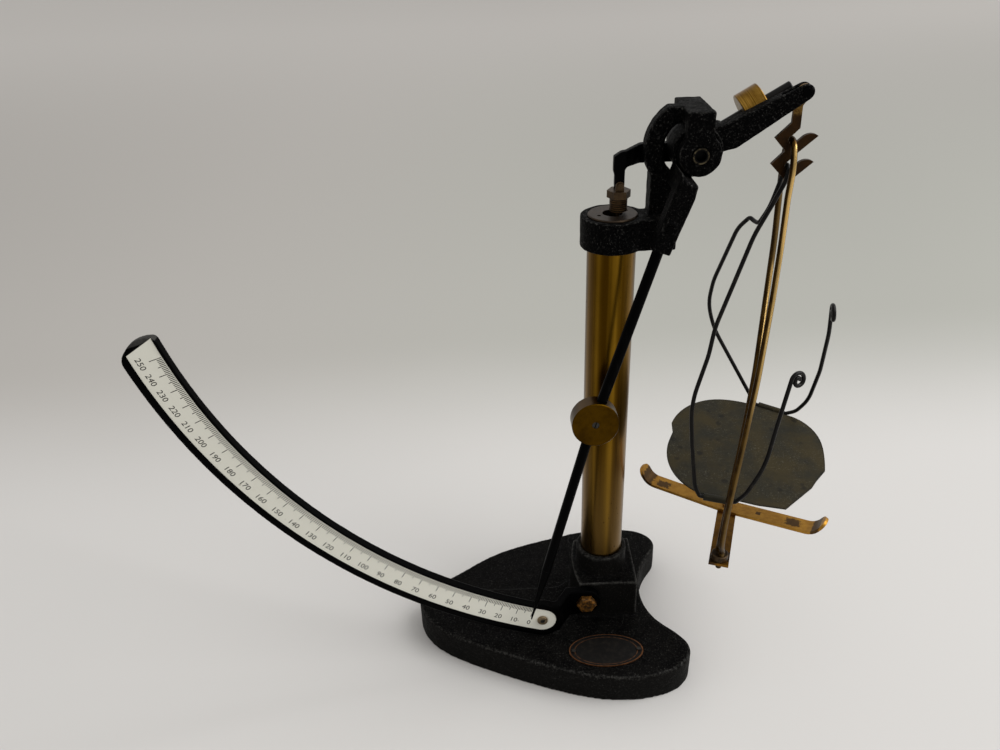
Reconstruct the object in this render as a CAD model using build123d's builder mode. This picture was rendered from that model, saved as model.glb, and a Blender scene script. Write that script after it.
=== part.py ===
from build123d import *
import os
from math import atan2, cos, degrees, pi, radians, sin, tan

# A laboratory quadrant balance: a weighed pendulum beam on a brass column, read on a quadrant scale.
# Millimetres. The origin is the column axis at table level, +X to the pan, +Y to the rear, +Z up.

# General fits
fit_gap = 0.05          # running or sliding fit, on the radius
seat_gap = 0.3          # pieces of different bodies that nearly touch
sheet_gap = 0.1         # a flat piece in its pocket

# Base casting
base_height = 20.0
base_wall = 7.0
base_roof = 7.0
base_edge_r = 1.6
nose_x, nose_y = -118.5, -1.5
front_x, front_y = 5.0, -70.2
side_x, side_y = 50.0, -48.5
waist_x, waist_y = 27.0, 3.0
rear_x, rear_y = 12.0, 63.0
lobe_x, lobe_y = 44.0, 45.0
panel_depth = 1.2
panel_x0, panel_x1 = -130.0, -16.5
panel_y0 = 6.2
panel_corner_r = 16.5
inset_points = 36

# Pedestal that rises from the base
pedestal_half = 20.8
pedestal_top_z = 48.0
pedestal_left, pedestal_left_corner = -18.2, -15.5
boss_r = 15.6
boss_top_z = 63.0
boss_round_r = 1.5
boss_cove_r = 2.0
socket_floor_z = 36.0

# Column
tube_r = 12.7
tube_wall = 1.2
tube_top_z = 276.0
plug_height = 10.0

# Head: collar, neck, crescent web, block and two cheeks
collar_r = 16.4
collar_z0 = 263.9
collar_z1 = 280.2
pivot_x, pivot_z = 38.3, 313.0
web_outer_r = 24.3
web_inner_r = 15.3
web_half = 4.0
neck_x0, neck_x1 = 17.5, 31.0
neck_front_y, neck_rear_y = -4.5, 6.5
bridge_front_y, bridge_rear_y = -11.0, 8.0
block_x0, block_x1 = 31.0, 44.0
block_z0, block_z1 = 326.2, 333.3
cheek_inner_y = 10.5
cheek_outer_y = 17.0
cheek_r = 10.2
cheek_right = 8.9

# Cap of the oil dashpot
cap_height = 4.9
cap_hole_r = 5.2
cap_pin_r = 1.0
cap_pin_circle_r = 8.0

# Quadrant and its scale
scale_inner_r = 281.0
scale_width = 17.0
scale_outer_r = scale_inner_r + scale_width
rim_inner = 1.6
rim_outer = 4.2
quadrant_front_y = -36.7
quadrant_thick = 5.2
pocket_depth = 1.2
strip_thick = 0.5
scale_end_angle = 15.6
scale_cut_angle = 73.98
scale_cut_lean = 1.08
scale_end_bulge = 0.57
pocket_beyond = 3.0
strip_screw_r = 3.2
strip_hole_r = 1.7
lug_thick = 5.3
lug_r = 9.0
lug_neck_x0, lug_neck_x1 = -29.0, -22.0
lug_bolt_x, lug_bolt_z = -11.6, 37.6
bolt_head_r = 6.2
bolt_head_h = 3.6
bolt_shank_r = 2.5

# Maker's oval plate, left bare
plate_x, plate_y = -1.7, -49.4
plate_half_x, plate_half_y = 22.6, 12.4
plate_thick = 0.8
plate_rim = 1.2
plate_pin_x = 19.8
plate_pin_r = 0.8

# Beam hub, spindle and bearings
hub_r = 12.2
hub_half = 10.0
hub_rear_y = 4.6
spindle_r = 2.5
spindle_tip_r = 1.5
spindle_half = 13.0
bearing_r = 4.1
bearing_proud = 0.5
bearing_socket_r = 2.6
bearing_socket_depth = 3.2

# Load arm with the forked end
load_arm_half = 3.5
load_pin_x, load_pin_z = 89.2, 337.4
load_end_r = 3.8
load_root_x, load_root_z = 56.3, 318.4
load_root_r = 6.5
load_hub_r = 5.5
fork_slot = 2.6
fork_depth = 10.5
hook_pin_r = 1.5
hook_pin_head_r = 2.2
hook_pin_head = 0.6

# Zero adjuster behind the load arm
adjuster_x, adjuster_y, adjuster_z = 53.0, 13.9, 317.7
adjuster_angle = 30.0
adjuster_r = 2.5
adjuster_length = 39.4
adjuster_root = 3.0
adjuster_ear_r = 3.6
adjuster_ear_wall = 1.0
balance_nut_r = 10.0
balance_nut_length = 11.6
balance_nut_at = 13.6
balance_nut_edge = 0.4

# Socket arm that carries the pointer
rod_r = 2.8
rod_angle = 17.62
rod_offset = 4.66
rod_front_y = -21.0
rod_tip_y = -41.0
rod_reach = 290.0
bend_at = 160.0
lower_angle = 14.71
rod_lower_length = 87.6
blade_length = 38.0
blade_tip_w, blade_tip_t = 0.7, 1.6
socket_rear_y, socket_front_y = -18.6, -28.6
socket_left, socket_right = 3.9, 5.4
socket_shoulder_right, socket_top_right = 6.6, 5.0
socket_top_at, socket_shoulder_at, socket_end_at = 4.0, 18.0, 47.5
socket_clear_r = 11.4
socket_root_front_y, socket_root_rear_y = -10.0, -5.0
rod_start_at = 29.0
clamp_screw_r = 2.0
clamp_screw_at = 34.8
clamp_boss_r, clamp_boss = 3.8, 0.8

# Pointer weight
weight_r = 12.7
weight_thick = 9.8
weight_at = 145.6
weight_edge = 0.8
grub_r = 1.9
grub_depth = 1.2

# Damper arm, clevis, rod and piston
damper_ring_r = 11.4
damper_arm_front_y, damper_arm_rear_y = 5.0, 9.6
damper_top_z, damper_under_z = 313.8, 304.4
damper_left_x = -0.5
damper_leg_right_x = 5.4
damper_bend_x0, damper_bend_x1 = 5.4, 13.5
damper_half = 2.2
damper_pin_x, damper_pin_z = 2.7, 295.7
damper_eye_r = 2.5
damper_pin_r = 0.8
clevis_ear_t = 1.2
clevis_hex_r = 6.0
clevis_hex_z0, clevis_hex_z1 = 289.2, 292.9
bush_r = 4.5
bush_z0 = 282.4
bush_ribs = 3
bush_groove = 0.5
damper_rod_r = 1.0
piston_r = 6.9
piston_height = 6.0
piston_z0 = 118.0
piston_hole_r = 1.1
piston_hole_circle_r = 4.8
piston_nut_r = 3.0
piston_nut_h = 2.4

# Double hook of brass plate
hook_t = 2.0
hook_eye_r = 3.4
hook_neck_x0, hook_neck_x1 = 84.8, 88.9
hook_neck_top_z = load_pin_z - 6.0
notch_x, notch_z = 86.0, 314.9
notch_pitch = 12.7
notch_drift = 0.45
notch_room = 0.4

# Stirrup: bow of brass rod, socket, stem and crossbar
bow_r = 1.6
bow_arch = 4.2
bow_spread = 8.0
bow_straight = 3.0
bow_foot_apart = 2.3
stem_end_x, stem_end_y = 63.0, -42.0
stem_beyond = 5.2
boss_bow_r = 4.8
boss_bow_h = 4.0
strip_w = 11.2
strip_t = 1.8
cross_x, cross_y, cross_z = 78.9, 3.1, 86.0
cross_left_x, cross_left_y = 35.0, 29.5
cross_right_x, cross_right_y = 123.2, -24.5
cross_rise = 2.6
cross_tip_run, cross_tip_rise = 6.0, 9.0
cross_bend_r = 9.0
rivet_r = 1.6
rivet_head_r = 3.0
rivet_head_h = 1.0
stud_length = 5.0

# Pan of sheet metal and its hanger of bent wire
pan_x, pan_y, pan_z = 83.5, -1.5, 131.0
pan_tilt = 7.0
pan_t = 0.9
pan_front_angle, pan_front_flat = -107.9, 42.4
pan_rear_angle, pan_rear_flat = 58.0, 44.3
pan_front_flat_ends = (-21.0, -2.0)
pan_rear_flat_ends = (-12.0, 8.5)
wire_r = 1.15
lip_length = 15.0
lip_wall = 0.8
lip_gap = 0.1
lip_beyond = 1.75
front_lip_along, rear_lip_along = -12.2, -1.5
lip_tail = 2.2
lip_bend_r = 1.75
hanger_half = 2.75
scroll_r = 4.3
scroll_gap = 0.45
scroll_half_turns = 3
front_scroll_heading, rear_scroll_heading = 25.0, -102.0


def front(y):
    """Upright drawing plane at depth y, seen from the front; extrusions come forward."""
    return Plane.XZ.offset(-y)


def about_pivot(radius, angle):
    """Point at a radius from the beam pivot, the angle counted leftwards from straight down."""
    return (pivot_x - radius * sin(radians(angle)), pivot_z - radius * cos(radians(angle)))


def on_rod(along, across=0.0):
    """Point on the upper rod line in the front view, with an offset square to it, to the right."""
    a = radians(rod_angle)
    x = pivot_x - cos(a) * (rod_offset - across) - along * sin(a)
    z = pivot_z + sin(a) * (rod_offset - across) - along * cos(a)
    return (x, z)


def rod_depth(z):
    """Depth of the pointer rod: it leans forward to pass in front of the scale."""
    return rod_front_y + (rod_tip_y - rod_front_y) * (pivot_z - z) / cos(radians(rod_angle)) / rod_reach


def save(part, name):
    part.label = name
    export_step(part, f"parts/{name}.step")


def bend_radii(points, least):
    """Largest easy radius at each inner corner of a wire's route, no tighter than the wire allows."""
    radii = []
    for before, here, after in zip(points, points[1:], points[2:]):
        run_in = Vector(*here) - Vector(*before)
        run_out = Vector(*after) - Vector(*here)
        half_turn = radians(run_in.get_angle(run_out)) / 2
        shorter = min(run_in.length, run_out.length)
        radii.append(max(least, min(0.45 * shorter / tan(half_turn), 60.0)))
    return radii


def wire(route_name, line, radius):
    """Round wire along a line, with its volume set against section times length."""
    path = Wire(line.edges())
    with BuildPart() as made:
        with BuildSketch(Plane(origin=path @ 0, z_dir=path % 0)):
            Circle(radius)
        sweep(path=path)
    print(route_name, "length", round(path.length, 1), "volume share",
          round(made.part.volume / (pi * radius**2 * path.length), 4))
    return made


os.makedirs("parts", exist_ok=True)

# Base outline: a long nose to the left, a lobe in front and one behind, drawn in at the right
base_route = [
    (nose_x, nose_y),
    (nose_x + 6.5, nose_y - 17.0),
    ((nose_x + front_x) / 2 - 26, (nose_y + front_y) / 2 - 4.0),
    ((nose_x + front_x) / 2 + 14, front_y + 12.5),
    (front_x, front_y),
    (side_x - 22, side_y - 19.7),
    (side_x - 6, side_y - 12.0),
    (side_x, side_y),
    (side_x - 6, side_y + 12.2),
    (waist_x + 6.5, waist_y - 27.5),
    (waist_x + 0.8, waist_y - 14.0),
    (waist_x, waist_y),
    (waist_x + 3.5, waist_y + 16.5),
    (lobe_x - 5.8, lobe_y - 10.7),
    (lobe_x, lobe_y),
    (lobe_x - 4.5, lobe_y + 11.0),
    (lobe_x - 18, lobe_y + 17.0),
    (rear_x, rear_y),
    (rear_x - 50, rear_y - 9.4),
    (nose_x + 46, rear_y - 23.9),
    (nose_x + 17, nose_y + 19.5),
]


def inset(outline, distance):
    """Points along a closed outline, moved inwards by a distance."""
    stations = [step / inset_points for step in range(inset_points)]
    return [outline @ t + (outline % t).rotate(Axis.Z, 90) * distance for t in stations]


# Base casting, hollow below, with the pedestal and its boss
with BuildPart() as base_casting:
    with BuildSketch():
        with BuildLine():
            base_outline = Spline(*base_route, periodic=True)
        make_face()
    extrude(amount=base_height)
    fillet(base_casting.faces().sort_by(Axis.Z)[-1].edges(), base_edge_r)
    with BuildSketch():
        with BuildLine():
            Spline(*inset(base_outline, base_wall), periodic=True)
        make_face()
        RectangleRounded(2 * pedestal_half + 4, 2 * pedestal_half + 4, 4, mode=Mode.SUBTRACT)
    extrude(amount=base_height - base_roof, mode=Mode.SUBTRACT)
    with BuildSketch(Plane.XY.offset(base_height - panel_depth)):
        with Locations(((panel_x0 + panel_x1) / 2, panel_y0 + rear_y)):
            RectangleRounded(panel_x1 - panel_x0, 2 * rear_y, panel_corner_r)
    extrude(amount=2 * panel_depth, mode=Mode.SUBTRACT)
    with BuildSketch(Plane.XY.offset(base_height - base_roof)):
        with BuildLine():
            Polyline((pedestal_left_corner, -pedestal_half), (pedestal_half, -pedestal_half),
                     (pedestal_half, pedestal_half), (pedestal_left_corner, pedestal_half))
            ThreePointArc((pedestal_left_corner, pedestal_half), (pedestal_left, 0),
                          (pedestal_left_corner, -pedestal_half))
        make_face()
    extrude(amount=pedestal_top_z - base_height + base_roof)
    with BuildSketch(Plane.XY.offset(pedestal_top_z)):
        Circle(boss_r)
    extrude(amount=boss_top_z - pedestal_top_z)
    boss_foot = base_casting.edges().filter_by(GeomType.CIRCLE).filter_by(
        lambda edge: abs(edge.radius - boss_r) < fit_gap and abs(edge.center().Z - pedestal_top_z) < fit_gap)
    fillet(boss_foot, boss_cove_r)
    fillet(base_casting.faces().sort_by(Axis.Z)[-1].edges(), boss_round_r)
    with BuildSketch(Plane.XY.offset(socket_floor_z)):
        Circle(tube_r + fit_gap)
    extrude(amount=boss_top_z, mode=Mode.SUBTRACT)
    with Locations(front(-pedestal_half)):
        with Locations((lug_bolt_x, lug_bolt_z)):
            Hole(bolt_shank_r + fit_gap, depth=7.0)
save(base_casting.part, "base_casting")

# Column tube and the plug that closes its foot
with BuildPart() as column_tube:
    with BuildSketch(Plane.XY.offset(socket_floor_z)):
        Circle(tube_r)
        Circle(tube_r - tube_wall, mode=Mode.SUBTRACT)
    extrude(amount=tube_top_z - socket_floor_z)
save(column_tube.part, "column_tube")

with BuildPart() as column_plug:
    with BuildSketch(Plane.XY.offset(socket_floor_z)):
        Circle(tube_r - tube_wall - fit_gap)
    extrude(amount=plug_height)
    chamfer(column_plug.edges().sort_by(Axis.Z)[-1], 1.0)
save(column_plug.part, "column_plug")

# Head bracket: collar on the column, bridge, neck, crescent web, block and cheeks
with BuildPart() as head_bracket:
    with BuildSketch(Plane.XY.offset(collar_z0)):
        Circle(collar_r)
        with Locations(((neck_x1) / 2, (bridge_front_y + bridge_rear_y) / 2)):
            Rectangle(neck_x1, bridge_rear_y - bridge_front_y)
    extrude(amount=collar_z1 - collar_z0)
    with BuildSketch(front(neck_rear_y)):
        with BuildLine():
            Polyline((neck_x0, collar_z1 - 6), (neck_x0, pivot_z - 12.5),
                     (neck_x0 + 7.9, pivot_z - 16.6), (neck_x1 - 1.0, collar_z1 + 9),
                     (neck_x1, collar_z1), (neck_x1, collar_z1 - 6), close=True)
        make_face()
    extrude(amount=neck_rear_y - neck_front_y)
    with BuildSketch(front(web_half)):
        with Locations((pivot_x, pivot_z)):
            Circle(web_outer_r)
            Circle(web_inner_r, mode=Mode.SUBTRACT)
        with BuildLine():
            Polyline((block_x0 + 2, block_z1), (pivot_x - 2 * web_outer_r, block_z1),
                     (pivot_x - 2 * web_outer_r, pivot_z - 26), (pivot_x - 8, pivot_z - 26),
                     (pivot_x - 8, pivot_z - 9), (block_x0 + 2, pivot_z + 4), close=True)
        make_face(mode=Mode.INTERSECT)
    extrude(amount=2 * web_half)
    with BuildSketch(front(cheek_outer_y)):
        with BuildLine():
            Polyline((block_x0, block_z1), (block_x1, block_z1), (block_x1, pivot_z + 10),
                     (pivot_x + cheek_right, pivot_z + 3),
                     (pivot_x, pivot_z), (block_x0, pivot_z - 6), close=True)
        make_face()
        with Locations((pivot_x, pivot_z)):
            Circle(cheek_r)
    extrude(amount=2 * cheek_outer_y)
    with BuildSketch(front(cheek_inner_y)):
        with Locations((pivot_x, pivot_z)):
            Rectangle(4 * cheek_r, 2 * (block_z0 - pivot_z))
        with Locations((pivot_x, pivot_z)):
            Circle(web_inner_r)
    slot = extrude(amount=2 * cheek_inner_y, mode=Mode.PRIVATE)
    with BuildSketch(front(web_half)):
        with Locations((pivot_x, pivot_z)):
            Circle(web_outer_r)
            Circle(web_inner_r, mode=Mode.SUBTRACT)
        with Locations((pivot_x - web_outer_r, pivot_z)):
            Rectangle(2 * (web_outer_r - pivot_x + block_x0) + 1, 3 * web_outer_r, mode=Mode.INTERSECT)
    kept = extrude(amount=2 * web_half, mode=Mode.PRIVATE)
    add(slot - kept, mode=Mode.SUBTRACT)
    with BuildSketch(front(cheek_outer_y + 1)):
        with Locations((pivot_x, pivot_z)):
            Circle(bearing_r + fit_gap)
    extrude(amount=2 * cheek_outer_y + 2, mode=Mode.SUBTRACT)
    with BuildSketch(Plane.XY.offset(collar_z0 - 1)):
        Circle(tube_r + fit_gap)
    extrude(amount=collar_z1 - collar_z0 + 2, mode=Mode.SUBTRACT)
save(head_bracket.part, "head_bracket")

# Cap over the dashpot, with two spanner holes
with BuildPart() as dashpot_cap:
    with BuildSketch(Plane.XY.offset(tube_top_z)):
        Circle(tube_r)
        Circle(cap_hole_r, mode=Mode.SUBTRACT)
        with PolarLocations(cap_pin_circle_r, 2, start_angle=25):
            Circle(cap_pin_r, mode=Mode.SUBTRACT)
    extrude(amount=cap_height)
    chamfer(dashpot_cap.faces().sort_by(Axis.Z)[-1].outer_wire().edges(), 0.5)
save(dashpot_cap.part, "dashpot_cap")

# Quadrant casting: a rimmed sector with a lug that steps back to the pedestal
mid_r = (scale_inner_r + scale_outer_r) / 2
end_x, end_z = about_pivot(mid_r, scale_end_angle)


def sector(inner_r, outer_r, end_r, beyond=0.0):
    """Sector between two radii with a round right end and a straight left cut, or one further on."""
    over = 6.0
    cut_angle = scale_cut_angle + beyond
    with BuildSketch() as made:
        with BuildLine():
            CenterArc((pivot_x, pivot_z), inner_r, 270 - cut_angle - over,
                      cut_angle + over - scale_end_angle)
            CenterArc((pivot_x, pivot_z), outer_r, 270 - cut_angle - over,
                      cut_angle + over - scale_end_angle)
            Line(about_pivot(inner_r, cut_angle + over), about_pivot(outer_r, cut_angle + over))
            Line(about_pivot(inner_r, scale_end_angle), about_pivot(outer_r, scale_end_angle))
        make_face()
        with Locations((end_x, end_z)):
            Circle(end_r)
        with BuildLine():
            Polyline(about_pivot(inner_r - 9, cut_angle + scale_cut_lean),
                     about_pivot(outer_r + 9, cut_angle - scale_cut_lean),
                     about_pivot(outer_r + 40, cut_angle + 14),
                     about_pivot(inner_r - 40, cut_angle + 14), close=True)
        make_face(mode=Mode.SUBTRACT)
    return made.sketch


with BuildPart() as quadrant_arm:
    with BuildSketch(front(quadrant_front_y + quadrant_thick)):
        add(sector(scale_inner_r - rim_inner, scale_outer_r + rim_outer,
                   scale_width / 2 + rim_outer))
        with BuildLine():
            bulge_ends = (about_pivot(scale_outer_r + rim_outer, scale_cut_angle - 1.1),
                          about_pivot(scale_inner_r - rim_inner, scale_cut_angle + 0.4))
            ThreePointArc(bulge_ends[0], about_pivot(mid_r + 1.3, scale_cut_angle + scale_end_bulge), bulge_ends[1])
            Line(bulge_ends[1], bulge_ends[0])
        make_face()
    extrude(amount=quadrant_thick)
    with BuildSketch(front(0)) as lug_face:
        with BuildLine():
            Polyline((end_x, end_z - lug_r - 1.8), (lug_bolt_x, lug_bolt_z - lug_r),
                     (lug_bolt_x, lug_bolt_z + lug_r), (end_x + 2, end_z + lug_r + 2), close=True)
        make_face()
        with Locations((lug_bolt_x, lug_bolt_z)):
            Circle(lug_r)
    lug_outline = extrude(amount=-2 * quadrant_front_y, both=True, mode=Mode.PRIVATE)
    with BuildSketch(Plane.XY) as lug_plan:
        with BuildLine():
            Polyline((end_x, quadrant_front_y), (lug_neck_x0, quadrant_front_y),
                     (lug_neck_x1, -pedestal_half - lug_thick), (lug_bolt_x + 2 * lug_r, -pedestal_half - lug_thick),
                     (lug_bolt_x + 2 * lug_r, -pedestal_half), (lug_neck_x1 - 2, -pedestal_half),
                     (lug_neck_x0 - 2, quadrant_front_y + quadrant_thick),
                     (end_x, quadrant_front_y + quadrant_thick), close=True)
        make_face()
    lug_slab = extrude(amount=2 * pedestal_top_z, mode=Mode.PRIVATE)
    add(lug_outline & lug_slab)
    with BuildSketch(front(quadrant_front_y + pocket_depth)):
        add(sector(scale_inner_r, scale_outer_r, scale_width / 2, pocket_beyond))
    extrude(amount=2 * pocket_depth, mode=Mode.SUBTRACT)
    with Locations(front(-pedestal_half - lug_thick)):
        with Locations((lug_bolt_x, lug_bolt_z)):
            Hole(bolt_shank_r + fit_gap)
    with Locations(front(quadrant_front_y + pocket_depth)):
        with Locations((end_x, end_z)):
            Hole(strip_hole_r + fit_gap)
save(quadrant_arm.part, "quadrant_arm")

# Scale strip in the quadrant's pocket, and its screw
strip_back_y = quadrant_front_y + pocket_depth
with BuildPart() as scale_strip:
    with BuildSketch(front(strip_back_y)):
        add(sector(scale_inner_r + sheet_gap, scale_outer_r - sheet_gap,
                   scale_width / 2 - sheet_gap))
        with Locations((end_x, end_z)):
            Circle(strip_hole_r + fit_gap, mode=Mode.SUBTRACT)
    extrude(amount=strip_thick)
save(scale_strip.part, "scale_strip")

with BuildPart() as scale_screw:
    with BuildSketch(front(strip_back_y - strip_thick)):
        with Locations((end_x, end_z)):
            Circle(strip_screw_r)
    extrude(amount=1.3)
    fillet(scale_screw.faces().sort_by(Axis.Y)[0].edges(), 0.6)
    with BuildSketch(front(strip_back_y - strip_thick - 0.7)):
        with Locations((end_x, end_z)):
            Rectangle(3 * strip_screw_r, 0.8, rotation=35)
    extrude(amount=1.3, mode=Mode.SUBTRACT)
    with BuildSketch(front(strip_back_y - strip_thick)):
        with Locations((end_x, end_z)):
            Circle(strip_hole_r)
    extrude(amount=-3.8)
save(scale_screw.part, "scale_screw")

# Bolt that holds the quadrant to the pedestal
bolt_seat_y = -pedestal_half - lug_thick
with BuildPart() as quadrant_bolt:
    with BuildSketch(front(bolt_seat_y)):
        with Locations((lug_bolt_x, lug_bolt_z)):
            RegularPolygon(bolt_head_r, 6)
    extrude(amount=bolt_head_h)
    chamfer(quadrant_bolt.faces().sort_by(Axis.Y)[0].edges(), 0.9)
    with BuildSketch(front(bolt_seat_y)):
        with Locations((lug_bolt_x, lug_bolt_z)):
            Circle(bolt_shank_r)
    extrude(amount=-lug_thick - 6.0)
save(quadrant_bolt.part, "quadrant_bolt")

# Oval plate on the base, bare, with two pins
with BuildPart() as oval_plate:
    with BuildSketch(Plane.XY.offset(base_height)):
        with Locations((plate_x, plate_y)):
            Ellipse(plate_half_x, plate_half_y)
        with Locations((plate_x - plate_pin_x, plate_y), (plate_x + plate_pin_x, plate_y)):
            Circle(plate_pin_r + fit_gap, mode=Mode.SUBTRACT)
    extrude(amount=plate_thick)
    with BuildSketch(Plane.XY.offset(base_height + plate_thick / 2)):
        with Locations((plate_x, plate_y)):
            Ellipse(plate_half_x - plate_rim, plate_half_y - plate_rim)
        with Locations((plate_x - plate_pin_x, plate_y), (plate_x + plate_pin_x, plate_y)):
            Circle(plate_pin_r + plate_rim / 2, mode=Mode.SUBTRACT)
    extrude(amount=plate_thick, mode=Mode.SUBTRACT)
save(oval_plate.part, "oval_plate")

with BuildPart() as plate_pins:
    with BuildSketch(Plane.XY.offset(base_height)):
        with Locations((plate_x - plate_pin_x, plate_y), (plate_x + plate_pin_x, plate_y)):
            Circle(plate_pin_r)
    extrude(amount=plate_thick)
    with BuildSketch(Plane.XY.offset(base_height + plate_thick)):
        with Locations((plate_x - plate_pin_x, plate_y), (plate_x + plate_pin_x, plate_y)):
            Circle(plate_pin_r + 0.4)
    extrude(amount=0.6)
save(plate_pins.part, "plate_pins")

# Bearing screws in the two cheeks, with a blind spanner hole outside and the pivot hole inside
for name, face in (("front_bearing_screw", -1), ("rear_bearing_screw", 1)):
    outer_y = face * (cheek_outer_y + bearing_proud)
    inner_y = face * (cheek_inner_y + seat_gap)
    with BuildPart() as bearing_screw:
        with BuildSketch(front(outer_y)):
            with Locations((pivot_x, pivot_z)):
                Circle(bearing_r)
        extrude(amount=outer_y - inner_y)
        with BuildSketch(front(outer_y)):
            with Locations((pivot_x, pivot_z)):
                Circle(bearing_socket_r)
        extrude(amount=face * bearing_socket_depth, mode=Mode.SUBTRACT)
        with BuildSketch(front(inner_y)):
            with Locations((pivot_x, pivot_z)):
                Circle(spindle_tip_r + fit_gap)
        extrude(amount=-face * (spindle_half - cheek_inner_y), mode=Mode.SUBTRACT)
    save(bearing_screw.part, name)

# Beam casting: hub, forked load arm, adjuster ear and the cranked socket arm
socket_outline = [on_rod(socket_top_at, -socket_left), on_rod(socket_shoulder_at, -socket_left),
                  on_rod(socket_end_at, -socket_left), on_rod(socket_end_at, socket_right),
                  on_rod(socket_shoulder_at, socket_shoulder_right), on_rod(socket_top_at, socket_top_right)]
adjuster_dir = (cos(radians(adjuster_angle)), 0, sin(radians(adjuster_angle)))
adjuster_plane = Plane(origin=(adjuster_x, adjuster_y, adjuster_z), x_dir=(0, 1, 0), z_dir=adjuster_dir)
with BuildPart() as beam_casting:
    with BuildSketch(front(hub_rear_y)):
        with Locations((pivot_x, pivot_z)):
            Circle(hub_r)
    extrude(amount=hub_rear_y + hub_half)
    with BuildSketch(front(load_arm_half)):
        with Locations((pivot_x, pivot_z)):
            Circle(load_hub_r)
        with Locations((load_root_x, load_root_z)):
            Circle(load_root_r)
        make_hull()
    extrude(amount=2 * load_arm_half)
    with BuildSketch(front(load_arm_half)):
        with Locations((load_pin_x, load_pin_z)):
            Circle(load_end_r)
        with Locations((load_root_x, load_root_z)):
            Circle(load_root_r)
        make_hull()
    extrude(amount=2 * load_arm_half)
    with BuildSketch(front(socket_root_rear_y)):
        Polygon(*socket_outline[:2], socket_outline[-2], socket_outline[-1], align=None)
    extrude(amount=socket_root_rear_y - socket_root_front_y)
    with BuildSketch(front(socket_root_front_y)):
        Polygon(*socket_outline[:2], socket_outline[-2], socket_outline[-1], align=None)
        with Locations((pivot_x, pivot_z)):
            Circle(socket_clear_r, mode=Mode.SUBTRACT)
    extrude(amount=socket_root_front_y - socket_front_y)
    with BuildSketch(front(socket_rear_y)):
        Polygon(*socket_outline[1:5], align=None)
    extrude(amount=socket_rear_y - socket_front_y)
    shoulder = beam_casting.faces().filter_by(Axis.Y).sort_by(Axis.Y)[0]
    fillet(shoulder.edges(), 1.5)
    with BuildSketch(front(socket_front_y)):
        with Locations(on_rod(clamp_screw_at)):
            Circle(clamp_boss_r)
    extrude(amount=clamp_boss)
    with BuildSketch(front(fork_slot / 2)):
        with Locations((load_pin_x, load_pin_z)):
            Circle(fork_depth)
    extrude(amount=fork_slot, mode=Mode.SUBTRACT)
    with BuildSketch(front(load_arm_half + 1)):
        with Locations((load_pin_x, load_pin_z)):
            Circle(hook_pin_r + fit_gap)
    extrude(amount=2 * load_arm_half + 2, mode=Mode.SUBTRACT)
    with BuildSketch(front(hub_rear_y + 1)):
        with Locations((pivot_x, pivot_z)):
            Circle(spindle_r + fit_gap)
    extrude(amount=hub_rear_y + hub_half + 2, mode=Mode.SUBTRACT)
    with BuildSketch(front(adjuster_y + adjuster_r + adjuster_ear_wall)):
        with Locations((adjuster_x, adjuster_z)):
            Circle(adjuster_ear_r)
    extrude(amount=adjuster_y + adjuster_r + adjuster_ear_wall)
    with BuildSketch(adjuster_plane.offset(-adjuster_root)):
        Circle(adjuster_r + fit_gap)
    extrude(amount=adjuster_length, mode=Mode.SUBTRACT)
    rod_in = Vector(on_rod(rod_start_at)[0], rod_depth(on_rod(rod_start_at)[1]), on_rod(rod_start_at)[1])
    rod_out = Vector(on_rod(bend_at)[0], rod_depth(on_rod(bend_at)[1]), on_rod(bend_at)[1])
    with BuildSketch(Plane(origin=rod_in, z_dir=rod_out - rod_in)):
        Circle(rod_r + fit_gap)
    extrude(amount=socket_end_at, mode=Mode.SUBTRACT)
    with BuildSketch(front(socket_front_y - clamp_boss)):
        with Locations(on_rod(clamp_screw_at)):
            Circle(clamp_screw_r + fit_gap)
    extrude(amount=-(socket_rear_y - socket_front_y) / 2, mode=Mode.SUBTRACT)
save(beam_casting.part, "beam_casting")

# Spindle with reduced ends
with BuildPart() as beam_spindle:
    with BuildSketch(front(hub_half)):
        with Locations((pivot_x, pivot_z)):
            Circle(spindle_r)
    extrude(amount=2 * hub_half)
    with BuildSketch(front(spindle_half - 0.3)):
        with Locations((pivot_x, pivot_z)):
            Circle(spindle_tip_r)
    extrude(amount=2 * (spindle_half - 0.3))
save(beam_spindle.part, "beam_spindle")

with BuildPart() as pointer_clamp_screw:
    with BuildSketch(front(socket_front_y - clamp_boss - 0.3)):
        with Locations(on_rod(clamp_screw_at)):
            Circle(clamp_screw_r)
    extrude(amount=-1.9 - clamp_boss)
    with BuildSketch(front(socket_front_y - clamp_boss - 0.3)):
        with Locations(on_rod(clamp_screw_at)):
            Rectangle(3 * clamp_screw_r, 0.6)
    extrude(amount=-0.8, mode=Mode.SUBTRACT)
save(pointer_clamp_screw.part, "pointer_clamp_screw")

# Zero adjuster: a screw in the beam's rear ear, and its brass nut
with BuildPart() as adjusting_screw:
    with BuildSketch(adjuster_plane.offset(-adjuster_root)):
        Circle(adjuster_r)
    extrude(amount=adjuster_root + adjuster_length)
    chamfer(adjusting_screw.faces().sort_by(Axis.X)[-1].edges(), 0.4)
save(adjusting_screw.part, "adjusting_screw")

with BuildPart() as balance_nut:
    with BuildSketch(adjuster_plane.offset(balance_nut_at)):
        Circle(balance_nut_r)
        Circle(adjuster_r + fit_gap, mode=Mode.SUBTRACT)
    extrude(amount=balance_nut_length)
    chamfer(balance_nut.edges().filter_by(GeomType.CIRCLE).group_by(lambda edge: edge.radius)[-1],
            balance_nut_edge)
save(balance_nut.part, "balance_nut")

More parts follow.
